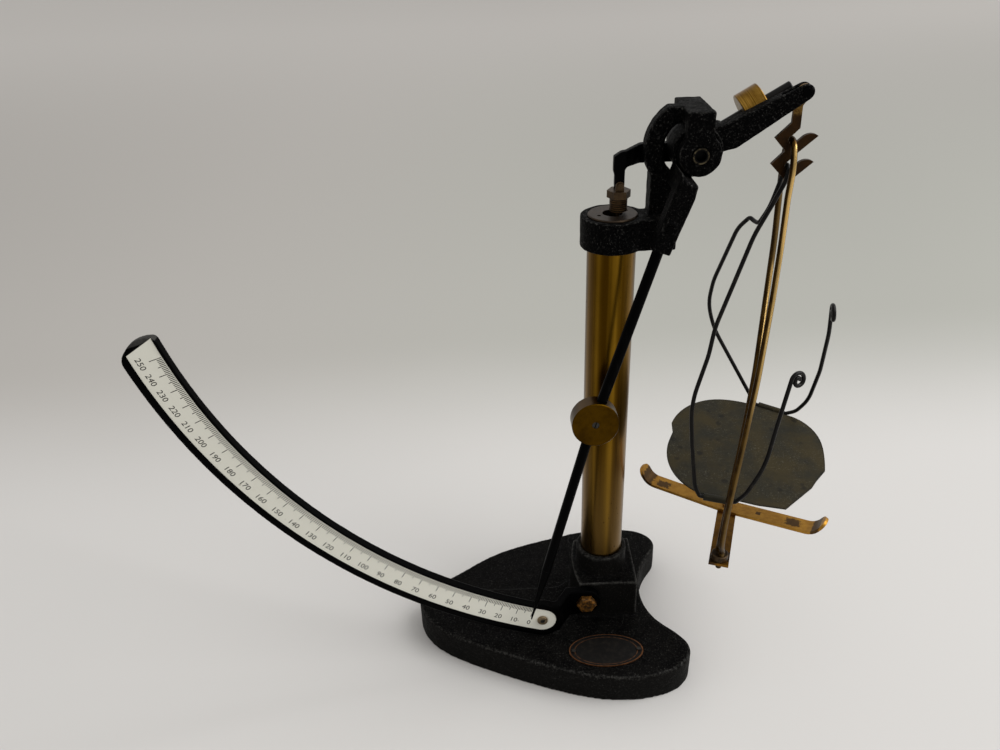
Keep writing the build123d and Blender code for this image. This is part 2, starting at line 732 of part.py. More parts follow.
# Damper arm: a ring on the spindle and a bar that comes forward over the column
with BuildPart() as damper_arm:
    with BuildSketch(front(0)):
        with BuildLine():
            Polyline((pivot_x, damper_top_z), (damper_bend_x1, damper_top_z),
                     (damper_left_x + 3.6, damper_top_z - 1.7), (damper_left_x, damper_top_z - 4.0),
                     (damper_left_x, damper_under_z - 2),
                     (damper_pin_x - damper_eye_r, damper_under_z - 4), (damper_pin_x - damper_eye_r, damper_pin_z),
                     (damper_pin_x + damper_eye_r, damper_pin_z), (damper_pin_x + damper_eye_r, damper_under_z - 1),
                     (damper_leg_right_x + 1, damper_under_z), (pivot_x, damper_under_z), close=True)
        make_face()
        with Locations((damper_pin_x, damper_pin_z)):
            Circle(damper_eye_r)
    bar_outline = extrude(amount=2 * damper_arm_rear_y, both=True, mode=Mode.PRIVATE)
    with BuildSketch(Plane.XY.offset(damper_pin_z - 2 * damper_eye_r)):
        with BuildLine():
            Polyline((pivot_x, damper_arm_front_y), (damper_bend_x1, damper_arm_front_y),
                     (damper_bend_x0, -damper_half), (damper_left_x - 1, -damper_half),
                     (damper_left_x - 1, damper_half), (damper_bend_x0, damper_half),
                     (damper_bend_x1, damper_arm_rear_y), (pivot_x, damper_arm_rear_y), close=True)
        make_face()
    bar_plan = extrude(amount=2 * (damper_top_z - damper_pin_z), mode=Mode.PRIVATE)
    add(bar_outline & bar_plan)
    with BuildSketch(front(damper_arm_rear_y)):
        with Locations((pivot_x, pivot_z)):
            Circle(damper_ring_r)
    extrude(amount=damper_arm_rear_y - damper_arm_front_y)
    with BuildSketch(front(damper_arm_rear_y)):
        with Locations((pivot_x, pivot_z)):
            Circle(spindle_r + fit_gap)
    extrude(amount=damper_arm_rear_y - damper_arm_front_y, mode=Mode.SUBTRACT)
    with BuildSketch(front(damper_half)):
        with Locations((damper_pin_x, damper_pin_z)):
            Circle(damper_pin_r + fit_gap)
    extrude(amount=2 * damper_half, mode=Mode.SUBTRACT)
save(damper_arm.part, "damper_arm")

# Damper clevis: two ears on a hexagon, with the pin through the arm's eye
ear_inner_y = damper_half + seat_gap
ear_outer_y = ear_inner_y + clevis_ear_t
with BuildPart() as damper_clevis:
    with BuildSketch(Plane.XY.offset(clevis_hex_z0)):
        with Locations((damper_pin_x, 0)):
            RegularPolygon(clevis_hex_r, 6)
            Circle(damper_rod_r + fit_gap, mode=Mode.SUBTRACT)
    extrude(amount=clevis_hex_z1 - clevis_hex_z0)
    for ear_rear_y in (ear_outer_y, -ear_inner_y):
        with BuildSketch(front(ear_rear_y)):
            with Locations((damper_pin_x, damper_pin_z)):
                Circle(damper_eye_r - 0.4)
            with Locations((damper_pin_x, (damper_pin_z + clevis_hex_z1) / 2)):
                Rectangle(2 * damper_eye_r - 0.8, damper_pin_z - clevis_hex_z1)
        extrude(amount=clevis_ear_t)
    with BuildSketch(front(ear_outer_y)):
        with Locations((damper_pin_x, damper_pin_z)):
            Circle(damper_pin_r)
    extrude(amount=2 * ear_outer_y, mode=Mode.SUBTRACT)
save(damper_clevis.part, "damper_clevis")

with BuildPart() as damper_pin:
    with BuildSketch(front(ear_outer_y + 0.5)):
        with Locations((damper_pin_x, damper_pin_z)):
            Circle(damper_pin_r)
    extrude(amount=2 * ear_outer_y + 1)
    with BuildSketch(front(-ear_outer_y)):
        with Locations((damper_pin_x, damper_pin_z)):
            Circle(damper_pin_r + 0.5)
    extrude(amount=0.8)
save(damper_pin.part, "damper_pin")

# Ribbed bush under the hexagon
with BuildPart() as damper_bush:
    with BuildSketch(Plane.XY.offset(bush_z0)):
        with Locations((damper_pin_x, 0)):
            Circle(bush_r)
            Circle(damper_rod_r + fit_gap, mode=Mode.SUBTRACT)
    extrude(amount=clevis_hex_z0 - bush_z0)
    bush_pitch = (clevis_hex_z0 - bush_z0) / (bush_ribs + 1)
    for rib in range(bush_ribs):
        with BuildSketch(Plane.XY.offset(bush_z0 + (rib + 1) * bush_pitch - bush_groove / 2)):
            with Locations((damper_pin_x, 0)):
                Circle(bush_r + 1)
                Circle(bush_r - bush_groove, mode=Mode.SUBTRACT)
        extrude(amount=bush_groove, mode=Mode.SUBTRACT)
save(damper_bush.part, "damper_bush")

# Damper rod, piston with oil holes, and its nut
with BuildPart() as damper_rod:
    with BuildSketch(Plane.XY.offset(piston_z0)):
        with Locations((damper_pin_x, 0)):
            Circle(damper_rod_r)
    extrude(amount=clevis_hex_z1 - piston_z0 - 0.5)
save(damper_rod.part, "damper_rod")

with BuildPart() as damper_piston:
    with BuildSketch(Plane.XY.offset(piston_z0)):
        with Locations((damper_pin_x, 0)):
            Circle(piston_r)
            Circle(damper_rod_r + fit_gap, mode=Mode.SUBTRACT)
            with PolarLocations(piston_hole_circle_r, 6):
                Circle(piston_hole_r, mode=Mode.SUBTRACT)
    extrude(amount=piston_height)
save(damper_piston.part, "damper_piston")

with BuildPart() as piston_nut:
    with BuildSketch(Plane.XY.offset(piston_z0 + piston_height)):
        with Locations((damper_pin_x, 0)):
            RegularPolygon(piston_nut_r, 6)
            Circle(damper_rod_r + fit_gap, mode=Mode.SUBTRACT)
    extrude(amount=piston_nut_h)
save(piston_nut.part, "piston_nut")

# Pointer: bent rod and tapered tip
bend_x, bend_z = on_rod(bend_at)
lower_dir_x, lower_dir_z = -sin(radians(lower_angle)), -cos(radians(lower_angle))


def below_bend(along):
    """Point on the pointer below its bend."""
    z = bend_z + along * lower_dir_z
    return Vector(bend_x + along * lower_dir_x, rod_depth(z), z)


with BuildLine() as rod_line:
    FilletPolyline(rod_in, rod_out, below_bend(rod_lower_length), radius=40)
pointer_rod = wire("pointer_rod", rod_line.line, rod_r)
save(pointer_rod.part, "pointer_rod")

blade_dir = below_bend(rod_lower_length + blade_length) - below_bend(rod_lower_length)
with BuildPart() as pointer_tip:
    with BuildSketch(Plane(origin=below_bend(rod_lower_length), x_dir=(0, 1, 0), z_dir=blade_dir)):
        Circle(rod_r)
    with BuildSketch(Plane(origin=below_bend(rod_lower_length + blade_length), x_dir=(0, 1, 0),
                           z_dir=blade_dir)):
        Ellipse(blade_tip_t / 2, blade_tip_w / 2)
    loft()
save(pointer_tip.part, "pointer_tip")

# Pointer weight: a brass disc bored across for the rod, with a grub screw in its face
rod_dir = (rod_out - rod_in).normalized()
weight_centre = Vector(on_rod(weight_at)[0], rod_depth(on_rod(weight_at)[1]), on_rod(weight_at)[1])
weight_front = (Vector(0, -1, 0) - rod_dir * Vector(0, -1, 0).dot(rod_dir)).normalized()
weight_plane = Plane(origin=weight_centre, x_dir=rod_dir, z_dir=weight_front)
with BuildPart() as pointer_weight:
    with BuildSketch(weight_plane):
        Circle(weight_r)
    extrude(amount=weight_thick / 2, both=True)
    chamfer(pointer_weight.edges().filter_by(GeomType.CIRCLE), weight_edge / 2)
    with BuildSketch(weight_plane):
        Circle(grub_r + fit_gap)
    extrude(amount=weight_thick, mode=Mode.SUBTRACT)
    with BuildSketch(Plane(origin=weight_centre - rod_dir * 2 * weight_r, z_dir=rod_dir)):
        Circle(rod_r + fit_gap)
    extrude(amount=4 * weight_r, mode=Mode.SUBTRACT)
save(pointer_weight.part, "pointer_weight")

with BuildPart() as weight_grub_screw:
    with BuildSketch(weight_plane.offset(rod_r + seat_gap)):
        Circle(grub_r)
    extrude(amount=weight_thick / 2 - grub_depth - rod_r - seat_gap + 1.0)
    with BuildSketch(weight_plane.offset(weight_thick / 2 - grub_depth)):
        Rectangle(3 * grub_r, 0.6)
    extrude(amount=2, mode=Mode.SUBTRACT)
save(weight_grub_screw.part, "weight_grub_screw")

# Pin through the fork of the load arm
with BuildPart() as hook_pin:
    with BuildSketch(front(load_arm_half + hook_pin_head)):
        with Locations((load_pin_x, load_pin_z)):
            Circle(hook_pin_r)
    extrude(amount=2 * (load_arm_half + hook_pin_head))
    for head_rear_y in (load_arm_half + hook_pin_head, -load_arm_half):
        with BuildSketch(front(head_rear_y)):
            with Locations((load_pin_x, load_pin_z)):
                Circle(hook_pin_head_r)
        extrude(amount=hook_pin_head)
save(hook_pin.part, "hook_pin")

# Double hook of sheet brass: an eye, a cranked neck and two barbed notches one above the other


def notch_centre(step):
    """Centre of a notch, counted from the top."""
    return Vector(notch_x - step * notch_drift, notch_z - step * notch_pitch)


with BuildPart() as hook_plate:
    with BuildSketch(front(hook_t / 2)):
        with BuildLine():
            Polyline((hook_neck_x0, hook_neck_top_z), notch_centre(0) + (-1.2, 8.0), notch_centre(0) + (-8.4, 0.9),
                     notch_centre(0) + (-2.7, -5.5), notch_centre(1) + (-8.4, 0.9), notch_centre(1) + (-1.6, -6.2),
                     notch_centre(1) + (0.8, -8.4), notch_centre(2) + (3.2, 5.4))
            for step in (1, 0):
                here = notch_centre(step)
                Line(notch_centre(step + 1) + (3.2, 5.4), here + (12.6, 1.3))
                ThreePointArc(here + (12.6, 1.3), here + (8.7, 2.5), here + (5.2, 1.2))
                Polyline(here + (5.2, 1.2), here + (2.6, -1.1), here + (0.6, -1.5), here + (-1.3, 0.9),
                         here + (3.2, 5.4))
            Polyline(notch_centre(0) + (3.2, 5.4), (hook_neck_x1, hook_neck_top_z), (hook_neck_x0, hook_neck_top_z))
        make_face()
        with Locations(notch_centre(0)):
            Circle(bow_r + notch_room, mode=Mode.SUBTRACT)
        with Locations(notch_centre(1)):
            Circle(wire_r + notch_room, mode=Mode.SUBTRACT)
    extrude(amount=hook_t)
    with BuildSketch(front(hook_t / 2)):
        with Locations((load_pin_x, load_pin_z)):
            Circle(hook_eye_r)
        with Locations(((hook_neck_x0 + hook_neck_x1) / 2, hook_neck_top_z)):
            Circle((hook_neck_x1 - hook_neck_x0) / 2)
        make_hull()
    extrude(amount=hook_t)
    with BuildSketch(front(hook_t / 2)):
        with Locations((load_pin_x, load_pin_z)):
            Circle(hook_pin_r + fit_gap)
    extrude(amount=hook_t, mode=Mode.SUBTRACT)
save(hook_plate.part, "hook_plate")

# Stirrup foot: crossbar with turned-up ends on a stem, riveted, and the socket of the bow
cross_dir = Vector(cross_right_x - cross_left_x, cross_right_y - cross_left_y, 0)
cross_left = Vector(cross_left_x - cross_x, cross_left_y - cross_y, 0).length
cross_right = Vector(cross_right_x - cross_x, cross_right_y - cross_y, 0).length
cross_plane = Plane(origin=(cross_x, cross_y, 0), x_dir=cross_dir, z_dir=cross_dir.cross(Vector(0, 0, 1)))
cross_route = [(-cross_left - cross_tip_run, cross_z + cross_rise + cross_tip_rise),
               (-cross_left, cross_z + cross_rise), (-strip_w / 2, cross_z), (strip_w / 2, cross_z),
               (cross_right, cross_z + cross_rise),
               (cross_right + cross_tip_run, cross_z + cross_rise + cross_tip_rise)]
with BuildPart() as stirrup_crossbar:
    with BuildSketch(cross_plane):
        with BuildLine():
            FilletPolyline(*cross_route, radius=cross_bend_r)
        trace(line_width=strip_t)
    extrude(amount=strip_w / 2, both=True)
    tips = stirrup_crossbar.edges().filter_by(lambda edge: abs(edge.length - strip_t) < 0.01)
    fillet(tips, 0.42 * strip_w)
    with BuildSketch(Plane.XY.offset(cross_z - strip_t)):
        with Locations((cross_x, cross_y)):
            Circle(rivet_r + fit_gap)
    extrude(amount=2 * strip_t, mode=Mode.SUBTRACT)
save(stirrup_crossbar.part, "stirrup_crossbar")

stem_top_z = cross_z - strip_t / 2
stem_run = Vector(cross_x - stem_end_x, cross_y - stem_end_y)
with BuildPart() as stirrup_stem:
    with BuildSketch(Plane.XY.offset(stem_top_z)):
        stem_angle = degrees(atan2(stem_run.Y, stem_run.X))
        with Locations(Location((cross_x, cross_y, 0), (0, 0, stem_angle))):
            Circle(strip_w / 2)
            with Locations((-(stem_run.length + stem_beyond) / 2, 0)):
                Rectangle(stem_run.length + stem_beyond, strip_w)
        with Locations((cross_x, cross_y), (stem_end_x, stem_end_y)):
            Circle(rivet_r + fit_gap, mode=Mode.SUBTRACT)
    extrude(amount=-strip_t)
save(stirrup_stem.part, "stirrup_stem")

with BuildPart() as stirrup_rivet:
    with BuildSketch(Plane.XY.offset(stem_top_z - strip_t)):
        with Locations((cross_x, cross_y)):
            Circle(rivet_r)
    extrude(amount=2 * strip_t)
    for head_z, head_way in ((stem_top_z + strip_t, 1), (stem_top_z - strip_t, -1)):
        with BuildSketch(Plane.XY.offset(head_z)):
            with Locations((cross_x, cross_y)):
                Circle(rivet_head_r)
        extrude(amount=head_way * rivet_head_h)
save(stirrup_rivet.part, "stirrup_rivet")

with BuildPart() as bow_socket:
    with BuildSketch(Plane.XY.offset(stem_top_z)):
        with Locations((stem_end_x, stem_end_y)):
            Circle(boss_bow_r)
    extrude(amount=boss_bow_h)
    chamfer(bow_socket.faces().sort_by(Axis.Z)[-1].edges(), 0.5)
    with BuildSketch(Plane.XY.offset(stem_top_z)):
        with Locations((stem_end_x, stem_end_y)):
            Circle(rivet_r)
    extrude(amount=-strip_t - stud_length)
save(bow_socket.part, "bow_socket")

with BuildPart() as stirrup_nut:
    with BuildSketch(Plane.XY.offset(stem_top_z - strip_t)):
        with Locations((stem_end_x, stem_end_y)):
            RegularPolygon(2 * rivet_r, 6)
            Circle(rivet_r + fit_gap, mode=Mode.SUBTRACT)
    extrude(amount=-rivet_r)
save(stirrup_nut.part, "stirrup_nut")

# Bow of brass rod: both legs rise from the socket and meet over the upper notch
bow_foot_z = stem_top_z + boss_bow_h
bow_front_route = [
    (stem_end_x + 0.4, stem_end_y - bow_foot_apart, bow_foot_z),
    (stem_end_x + 0.4, stem_end_y - bow_foot_apart, bow_foot_z + bow_straight),
    (59.1, -54.5, 105.0), (59.4, -55.5, 125.0), (65.3, -48.0, 160.0), (73.0, -36.0, 200.0),
    (82.0, -16.0, 236.0), (84.9, -9.4, 262.0), (85.1, -8.6, 288.0),
    (notch_x, -bow_spread, notch_z - 11.0), (notch_x, -bow_arch, notch_z),
]
bow_rear_route = [
    (notch_x, bow_arch, notch_z), (notch_x, bow_spread, notch_z - 11.0),
    (86.5, 8.6, 288.0), (86.1, 5.0, 262.0), (82.0, -6.0, 236.0),
    (73.0, -31.0, 200.0), (66.4, -42.6, 160.0), (60.8, -50.0, 125.0), (60.4, -48.0, 105.0),
    (stem_end_x - 0.4, stem_end_y + bow_foot_apart, bow_foot_z + bow_straight),
    (stem_end_x - 0.4, stem_end_y + bow_foot_apart, bow_foot_z),
]
bow_route = bow_front_route + bow_rear_route
with BuildLine() as bow_line:
    FilletPolyline(*bow_route, radius=bend_radii(bow_route, 1.6 * bow_r))
stirrup_bow = wire("stirrup_bow", bow_line.line, bow_r)
save(stirrup_bow.part, "stirrup_bow")

# Pan: flat sheet with straightened edges, two of them folded into lips round the wire
tilt = radians(pan_tilt)
pan_plane = Plane(origin=(pan_x, pan_y, pan_z), x_dir=(1, 0, 0), z_dir=(0, -sin(tilt), cos(tilt)))


def by_edge(angle, distance, along):
    """Place in the pan's own plane at a distance square to an edge and along it."""
    a = radians(angle)
    return Vector(distance * cos(a) - along * sin(a), distance * sin(a) + along * cos(a), 0)


def on_pan(angle, distance, along):
    """The same place in the balance."""
    return pan_plane.from_local_coords(by_edge(angle, distance, along))


front_lip = (pan_front_angle, pan_front_flat + lip_beyond, front_lip_along)
rear_lip = (pan_rear_angle, pan_rear_flat + lip_beyond, rear_lip_along)
with BuildPart() as pan_dish:
    with BuildSketch(pan_plane):
        with BuildLine():
            front_ends = [by_edge(pan_front_angle, pan_front_flat, along) for along in pan_front_flat_ends]
            rear_ends = [by_edge(pan_rear_angle, pan_rear_flat, along) for along in pan_rear_flat_ends]
            Polyline(*front_ends, (-4.3, -44.1), (10.4, -47.9), (29.6, -32.4), (33.8, -27.2), (41.2, -19.4),
                     (42.8, -14.5))
            Spline((42.8, -14.5), (45.4, -4.5), (46.7, 9.6), (42.8, 22.3), rear_ends[0])
            Line(*rear_ends)
            Spline(rear_ends[1], (3.8, 47.5), (-8.9, 49.1), (-22.8, 44.9), (-32.1, 37.3), (-38.4, 27.7))
            Polyline((-38.4, 27.7), (-39.3, 19.3), (-43.3, 10.9))
            Spline((-43.3, 10.9), (-46.6, -1.7), (-46.3, -11.9), (-44.7, -18.2), (-41.0, -25.6), front_ends[0])
        make_face()
    extrude(amount=pan_t / 2, both=True)
    for angle, distance, along in (front_lip, rear_lip):
        start = on_pan(angle, distance, along - lip_length / 2)
        end = on_pan(angle, distance, along + lip_length / 2)
        with BuildSketch(Plane(origin=start, z_dir=end - start)):
            Circle(wire_r + lip_gap + lip_wall)
        extrude(amount=lip_length)
    for angle, distance, along in (front_lip, rear_lip):
        start = on_pan(angle, distance, along - lip_length)
        end = on_pan(angle, distance, along + lip_length)
        with BuildSketch(Plane(origin=start, z_dir=end - start)):
            Circle(wire_r + lip_gap)
        extrude(amount=2 * lip_length, mode=Mode.SUBTRACT)
save(pan_dish.part, "pan_dish")

# Pan hanger: one steel wire from scroll to scroll, through both lips and over the lower notch
lower_notch = notch_centre(1)
lip_half = lip_length / 2 + lip_tail
front_lip_right = tuple(on_pan(front_lip[0], front_lip[1], front_lip[2] + lip_half))
front_lip_left = tuple(on_pan(front_lip[0], front_lip[1], front_lip[2] - lip_half))
rear_lip_right = tuple(on_pan(rear_lip[0], rear_lip[1], rear_lip[2] - lip_half))
rear_lip_left = tuple(on_pan(rear_lip[0], rear_lip[1], rear_lip[2] + lip_half))
hanger_route = [
    (92.6, -31.3, 196.8), (86.5, -36.6, 170.9), (81.8, -41.3, 149.3), (72.2, -44.6, 133.0),
    front_lip_right, front_lip_left,
    (46.6, -34.0, 131.5), (44.5, -27.7, 155.6), (43.5, -21.3, 177.8), (51.8, -16.2, 205.0),
    (54.6, -13.1, 220.1), (63.6, -9.0, 245.1), (71.9, -5.0, 268.0), (79.2, -3.2, 282.0),
    (85.3, -hanger_half, 295.5), (lower_notch.X, -hanger_half, lower_notch.Y),
    (lower_notch.X, hanger_half, lower_notch.Y), (84.3, hanger_half, 293.5),
    (80.8, 3.2, 279.5), (77.9, 8.6, 269.2), (76.7, 13.2, 269.0), (75.3, 16.2, 270.0), (71.2, 21.6, 262.4),
    (65.3, 37.4, 224.9), (65.0, 43.0, 207.7), (70.5, 45.1, 189.9), (95.1, 42.7, 146.6),
    rear_lip_left, rear_lip_right,
    (122.6, 29.0, 138.0), (125.9, 21.5, 150.5), (126.4, 13.6, 175.6), (124.2, 5.8, 204.1), (122.3, 3.6, 220.5),
]


hanger_radii = bend_radii(hanger_route, 1.5 * wire_r)
for number, corner in enumerate(hanger_route[1:-1]):
    if corner in (front_lip_left, front_lip_right, rear_lip_left, rear_lip_right):
        hanger_radii[number] = lip_bend_r


def curl(start, toward, radius, side):
    """Half turn of wire from a point, its direction and the side it turns to; gives arc and end."""
    centre = start + side * radius
    return centre + toward * radius, start + side * 2 * radius


with BuildLine() as hanger_line:
    FilletPolyline(*hanger_route, radius=hanger_radii)
    for ends, heading in ((hanger_route[1::-1], front_scroll_heading), (hanger_route[-2:], rear_scroll_heading)):
        start = Vector(*ends[1])
        toward = (start - Vector(*ends[0])).normalized()
        way = Vector(cos(radians(heading)), sin(radians(heading)), 0)
        side = (way - toward * way.dot(toward)).normalized()
        turns = [Edge.make_line(start - toward * 2 * scroll_r, start)]
        for turn in range(scroll_half_turns):
            radius = scroll_r - turn * (wire_r + scroll_gap / 2)
            top, finish = curl(start, toward, radius, side)
            turns.append(ThreePointArc(start, top, finish))
            start, toward, side = finish, -toward, -side
        apart = [one.distance_to(other) for place, one in enumerate(turns) for other in turns[place + 2:]]
        print("scroll, least gap to itself", round(min(apart) - 2 * wire_r, 3))
pan_hanger = wire("pan_hanger", hanger_line.line, wire_r)
save(pan_hanger.part, "pan_hanger")
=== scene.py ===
import math

import bpy
from mathutils import Matrix, Vector, noise


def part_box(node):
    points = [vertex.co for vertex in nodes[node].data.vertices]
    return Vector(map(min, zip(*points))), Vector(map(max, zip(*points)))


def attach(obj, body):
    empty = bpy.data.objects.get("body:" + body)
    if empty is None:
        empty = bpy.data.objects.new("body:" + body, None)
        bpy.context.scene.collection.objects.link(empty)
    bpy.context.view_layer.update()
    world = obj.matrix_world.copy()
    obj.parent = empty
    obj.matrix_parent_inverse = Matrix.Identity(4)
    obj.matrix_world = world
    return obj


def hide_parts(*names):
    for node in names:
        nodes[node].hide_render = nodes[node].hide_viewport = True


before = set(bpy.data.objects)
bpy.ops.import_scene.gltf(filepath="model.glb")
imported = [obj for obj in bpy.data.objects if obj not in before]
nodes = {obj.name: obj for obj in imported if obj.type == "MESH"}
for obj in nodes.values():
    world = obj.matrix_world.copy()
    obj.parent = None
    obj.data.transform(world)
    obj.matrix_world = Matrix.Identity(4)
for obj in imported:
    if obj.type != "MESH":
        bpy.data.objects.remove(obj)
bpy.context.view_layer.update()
mm = 0.001
print("frame loaded", len(nodes), "nodes")


class Value:  # a shader socket that takes part in plain arithmetic
    def __init__(self, finish, socket):
        self.finish, self.socket = finish, socket

    def combine(self, operation, first, second):
        return self.finish.add("ShaderNodeMath", {"operation": operation}, {0: first, 1: second})

    def __add__(self, other):
        return self.combine("ADD", self, other)

    def __sub__(self, other):
        return self.combine("SUBTRACT", self, other)

    def __rsub__(self, other):
        return self.combine("SUBTRACT", other, self)

    def __mul__(self, other):
        return self.combine("MULTIPLY", self, other)

    def __abs__(self):
        return self.finish.add("ShaderNodeMath", {"operation": "ABSOLUTE"}, {0: self})

    def span(self, least, gain):
        return least + self * gain

    __radd__ = __add__
    __rmul__ = __mul__


class Finish:  # the shader nodes of one material, or of the world
    def __init__(self, name, store=bpy.data.materials):
        self.owner = store.new(name)
        self.owner.use_nodes = True
        self.tree = self.owner.node_tree
        self.shader = self.tree.nodes.get("Principled BSDF")

    def feed(self, socket, value):
        if isinstance(value, Value):
            self.tree.links.new(value.socket, socket)
        else:
            socket.default_value = value

    def add(self, kind, settings=None, inputs=None, output=0):
        node = self.tree.nodes.new(kind)
        for key, value in (settings or {}).items():
            setattr(node, key, value)
        for key, value in (inputs or {}).items():
            self.feed(node.inputs[key], value)
        return Value(self, node.outputs[output])

    def vector(self, operation, first, second=(0, 0, 0), output="Vector"):
        return self.add("ShaderNodeVectorMath", {"operation": operation}, {0: first, 1: second}, output)

    def place(self, stretch=(1, 1, 1)):  # object coordinates in millimetres
        coords = self.add("ShaderNodeTexCoord", output="Object")
        return self.vector("MULTIPLY", coords, [s / mm for s in stretch])

    def shifted(self, centre):  # the same, from a centre
        return self.vector("SUBTRACT", self.place(), [c / mm for c in centre])

    def reach(self, centre, across):  # distance in millimetres; across is 1 along the axes that count
        return self.vector("LENGTH", self.vector("MULTIPLY", self.shifted(centre), across), output="Value")

    def axis(self, letter):  # one object coordinate in millimetres
        return self.add("ShaderNodeSeparateXYZ", None, {0: self.place()}, letter)

    def noise(self, size, detail=4, rough=0.6, stretch=(1, 1, 1)):  # size in millimetres
        inputs = {"Vector": self.place(stretch), "Scale": 1 / size, "Detail": detail, "Roughness": rough}
        return self.add("ShaderNodeTexNoise", None, inputs)

    def lines(self, along, detail):  # noise of one value alone
        return self.add("ShaderNodeTexNoise", {"noise_dimensions": "1D"}, {"W": along, "Detail": detail})

    def spots(self, size):  # distance to scattered points, 0 at each
        return self.add("ShaderNodeTexVoronoi", None, {"Vector": self.place(), "Scale": 1 / size}, "Distance")

    def step(self, value, low, high):  # 0 below low, 1 above high, smooth between
        return self.add("ShaderNodeMapRange", {"interpolation_type": "SMOOTHSTEP"},
                        {"Value": value, "From Min": low, "From Max": high})

    def patches(self, size, detail, rough, low, high, stretch=(1, 1, 1)):  # 1 in scattered patches
        return self.step(self.noise(size, detail, rough, stretch), low, high)

    def mix(self, factor, first, second):
        colours = [list(c) + [1] if isinstance(c, (list, tuple)) else c for c in (first, second)]
        return self.add("ShaderNodeMix", {"data_type": "RGBA"}, {0: factor, 6: colours[0], 7: colours[1]}, 2)

    def normal(self):
        return self.add("ShaderNodeNewGeometry", output="Normal")

    def lean(self, way):  # 1 where the surface faces that way
        return self.vector("DOT_PRODUCT", self.normal(), way, "Value")

    def facing(self):  # 1 where the surface looks up
        return self.add("ShaderNodeSeparateXYZ", None, {0: self.normal()}, "Z")

    def bevel(self, radius):  # the normal with corners rounded, radius in millimetres
        return self.add("ShaderNodeBevel", {"samples": 4}, {"Radius": radius * mm})

    def edges(self, radius):  # over 0 along sharp edges, 0 on flats
        return 1 - self.vector("DOT_PRODUCT", self.bevel(radius), self.normal(), "Value")

    def wornEdges(self, radius, low, high, gain=3):
        return self.step(self.edges(radius) * gain, low, high)

    def ridges(self):  # over a half on outward curves of a dense mesh
        return self.add("ShaderNodeNewGeometry", output="Pointiness")

    def surface(self, colour, roughness, metallic=0.0, **others):
        self.feed(self.shader.inputs["Base Color"], colour)
        self.feed(self.shader.inputs["Roughness"], roughness)
        self.feed(self.shader.inputs["Metallic"], metallic)
        for key, value in others.items():
            self.feed(self.shader.inputs[key.replace("_", " ")], value)

    def relief(self, height, depth, strength, corner=None):  # height 0 to 1; depth and corner in millimetres
        inputs = {"Height": height, "Distance": depth * mm, "Strength": strength}
        if corner:
            inputs["Normal"] = self.bevel(corner)
        self.feed(self.shader.inputs["Normal"], self.add("ShaderNodeBump", None, inputs))


# Camera, solved on the column, the base and the quadrant
camera = {"place": (-59.61, -409.89, 425.10), "azimuth": 0.07, "pitch": 29.99, "roll": -2.16,
          "lens": 30.34, "sensor": 36, "near": 0.01}


def makeCamera(spec):
    az, pitch, roll = (math.radians(spec[k]) for k in ("azimuth", "pitch", "roll"))
    ahead = Vector((-math.sin(az) * math.cos(pitch), math.cos(az) * math.cos(pitch), -math.sin(pitch)))
    right = Vector((math.cos(az), math.sin(az), 0))
    up = right.cross(ahead)
    rolledRight = right * math.cos(roll) + up * math.sin(roll)
    rolledUp = up * math.cos(roll) - right * math.sin(roll)
    turn = Matrix((rolledRight, rolledUp, -ahead)).transposed().to_4x4()
    data = bpy.data.cameras.new("camera")
    data.lens, data.sensor_width, data.clip_start = spec["lens"], spec["sensor"], spec["near"]
    seen = bpy.data.objects.new("camera", data)
    seen.matrix_world = Matrix.Translation(Vector(spec["place"]) * mm) @ turn
    bpy.context.scene.collection.objects.link(seen)
    bpy.context.scene.camera = seen


makeCamera(camera)
print("camera set")

# Studio: a wide pale floor that greys towards the rear, an even soft dome and a broad lamp at the right.
# Places on the floor are in millimetres, and what starts and ends there is given as from and to
floorPaper = {"size": 60.0, "roughness": 0.85, "gloss": 0.1, "cloud": (420, 2), "cloudShift": 60,
              "slant": 0.06, "near": (0.600, 0.588, 0.572), "middle": (0.402, 0.402, 0.370),
              "middleLeft": (0.450, 0.434, 0.410), "far": (0.620, 0.600, 0.575),
              "farRight": (0.72, 0.70, 0.67), "shade": 0.11, "leftToRight": (-520, 160),
              "nearToMiddle": (160, 460), "shadeFrom": (-100, 500), "middleToFar": (600, 3000),
              "farToRight": (0, 2500)}
room = {"sky": (1.0, 0.985, 0.965, 1), "low": 0.26, "high": 0.70, "lowToHigh": (-0.35, 0.45),
        "rearLift": 0.35}
softbox = {"size": 1.7, "power": 34.0, "place": (1.30, -0.15, 1.45), "aim": (0, 0, 0.15)}


def makeFloor(spec):
    half = spec["size"] / 2
    data = bpy.data.meshes.new("floor")
    corners = [(-half, -half, 0), (half, -half, 0), (half, half, 0), (-half, half, 0)]
    data.from_pydata(corners, [], [(0, 1, 2, 3)])
    floor = bpy.data.objects.new("floor", data)
    bpy.context.scene.collection.objects.link(floor)
    paper = Finish("paperSweep")
    back, side = paper.axis("Y"), paper.axis("X")
    cloud = paper.noise(*spec["cloud"])
    middle = paper.mix(paper.step(side, *spec["leftToRight"]), spec["middleLeft"], spec["middle"])
    rearward = back - side * spec["slant"] + cloud * spec["cloudShift"]
    colour = paper.mix(paper.step(rearward, *spec["nearToMiddle"]), spec["near"], middle)
    colour = paper.mix(paper.step(side, *spec["shadeFrom"]) * spec["shade"], colour, (0, 0, 0))
    far = paper.mix(paper.step(side, *spec["farToRight"]), spec["far"], spec["farRight"])
    colour = paper.mix(paper.step(back, *spec["middleToFar"]), colour, far)
    paper.surface(colour, spec["roughness"], Specular_IOR_Level=spec["gloss"])
    data.materials.append(paper.owner)


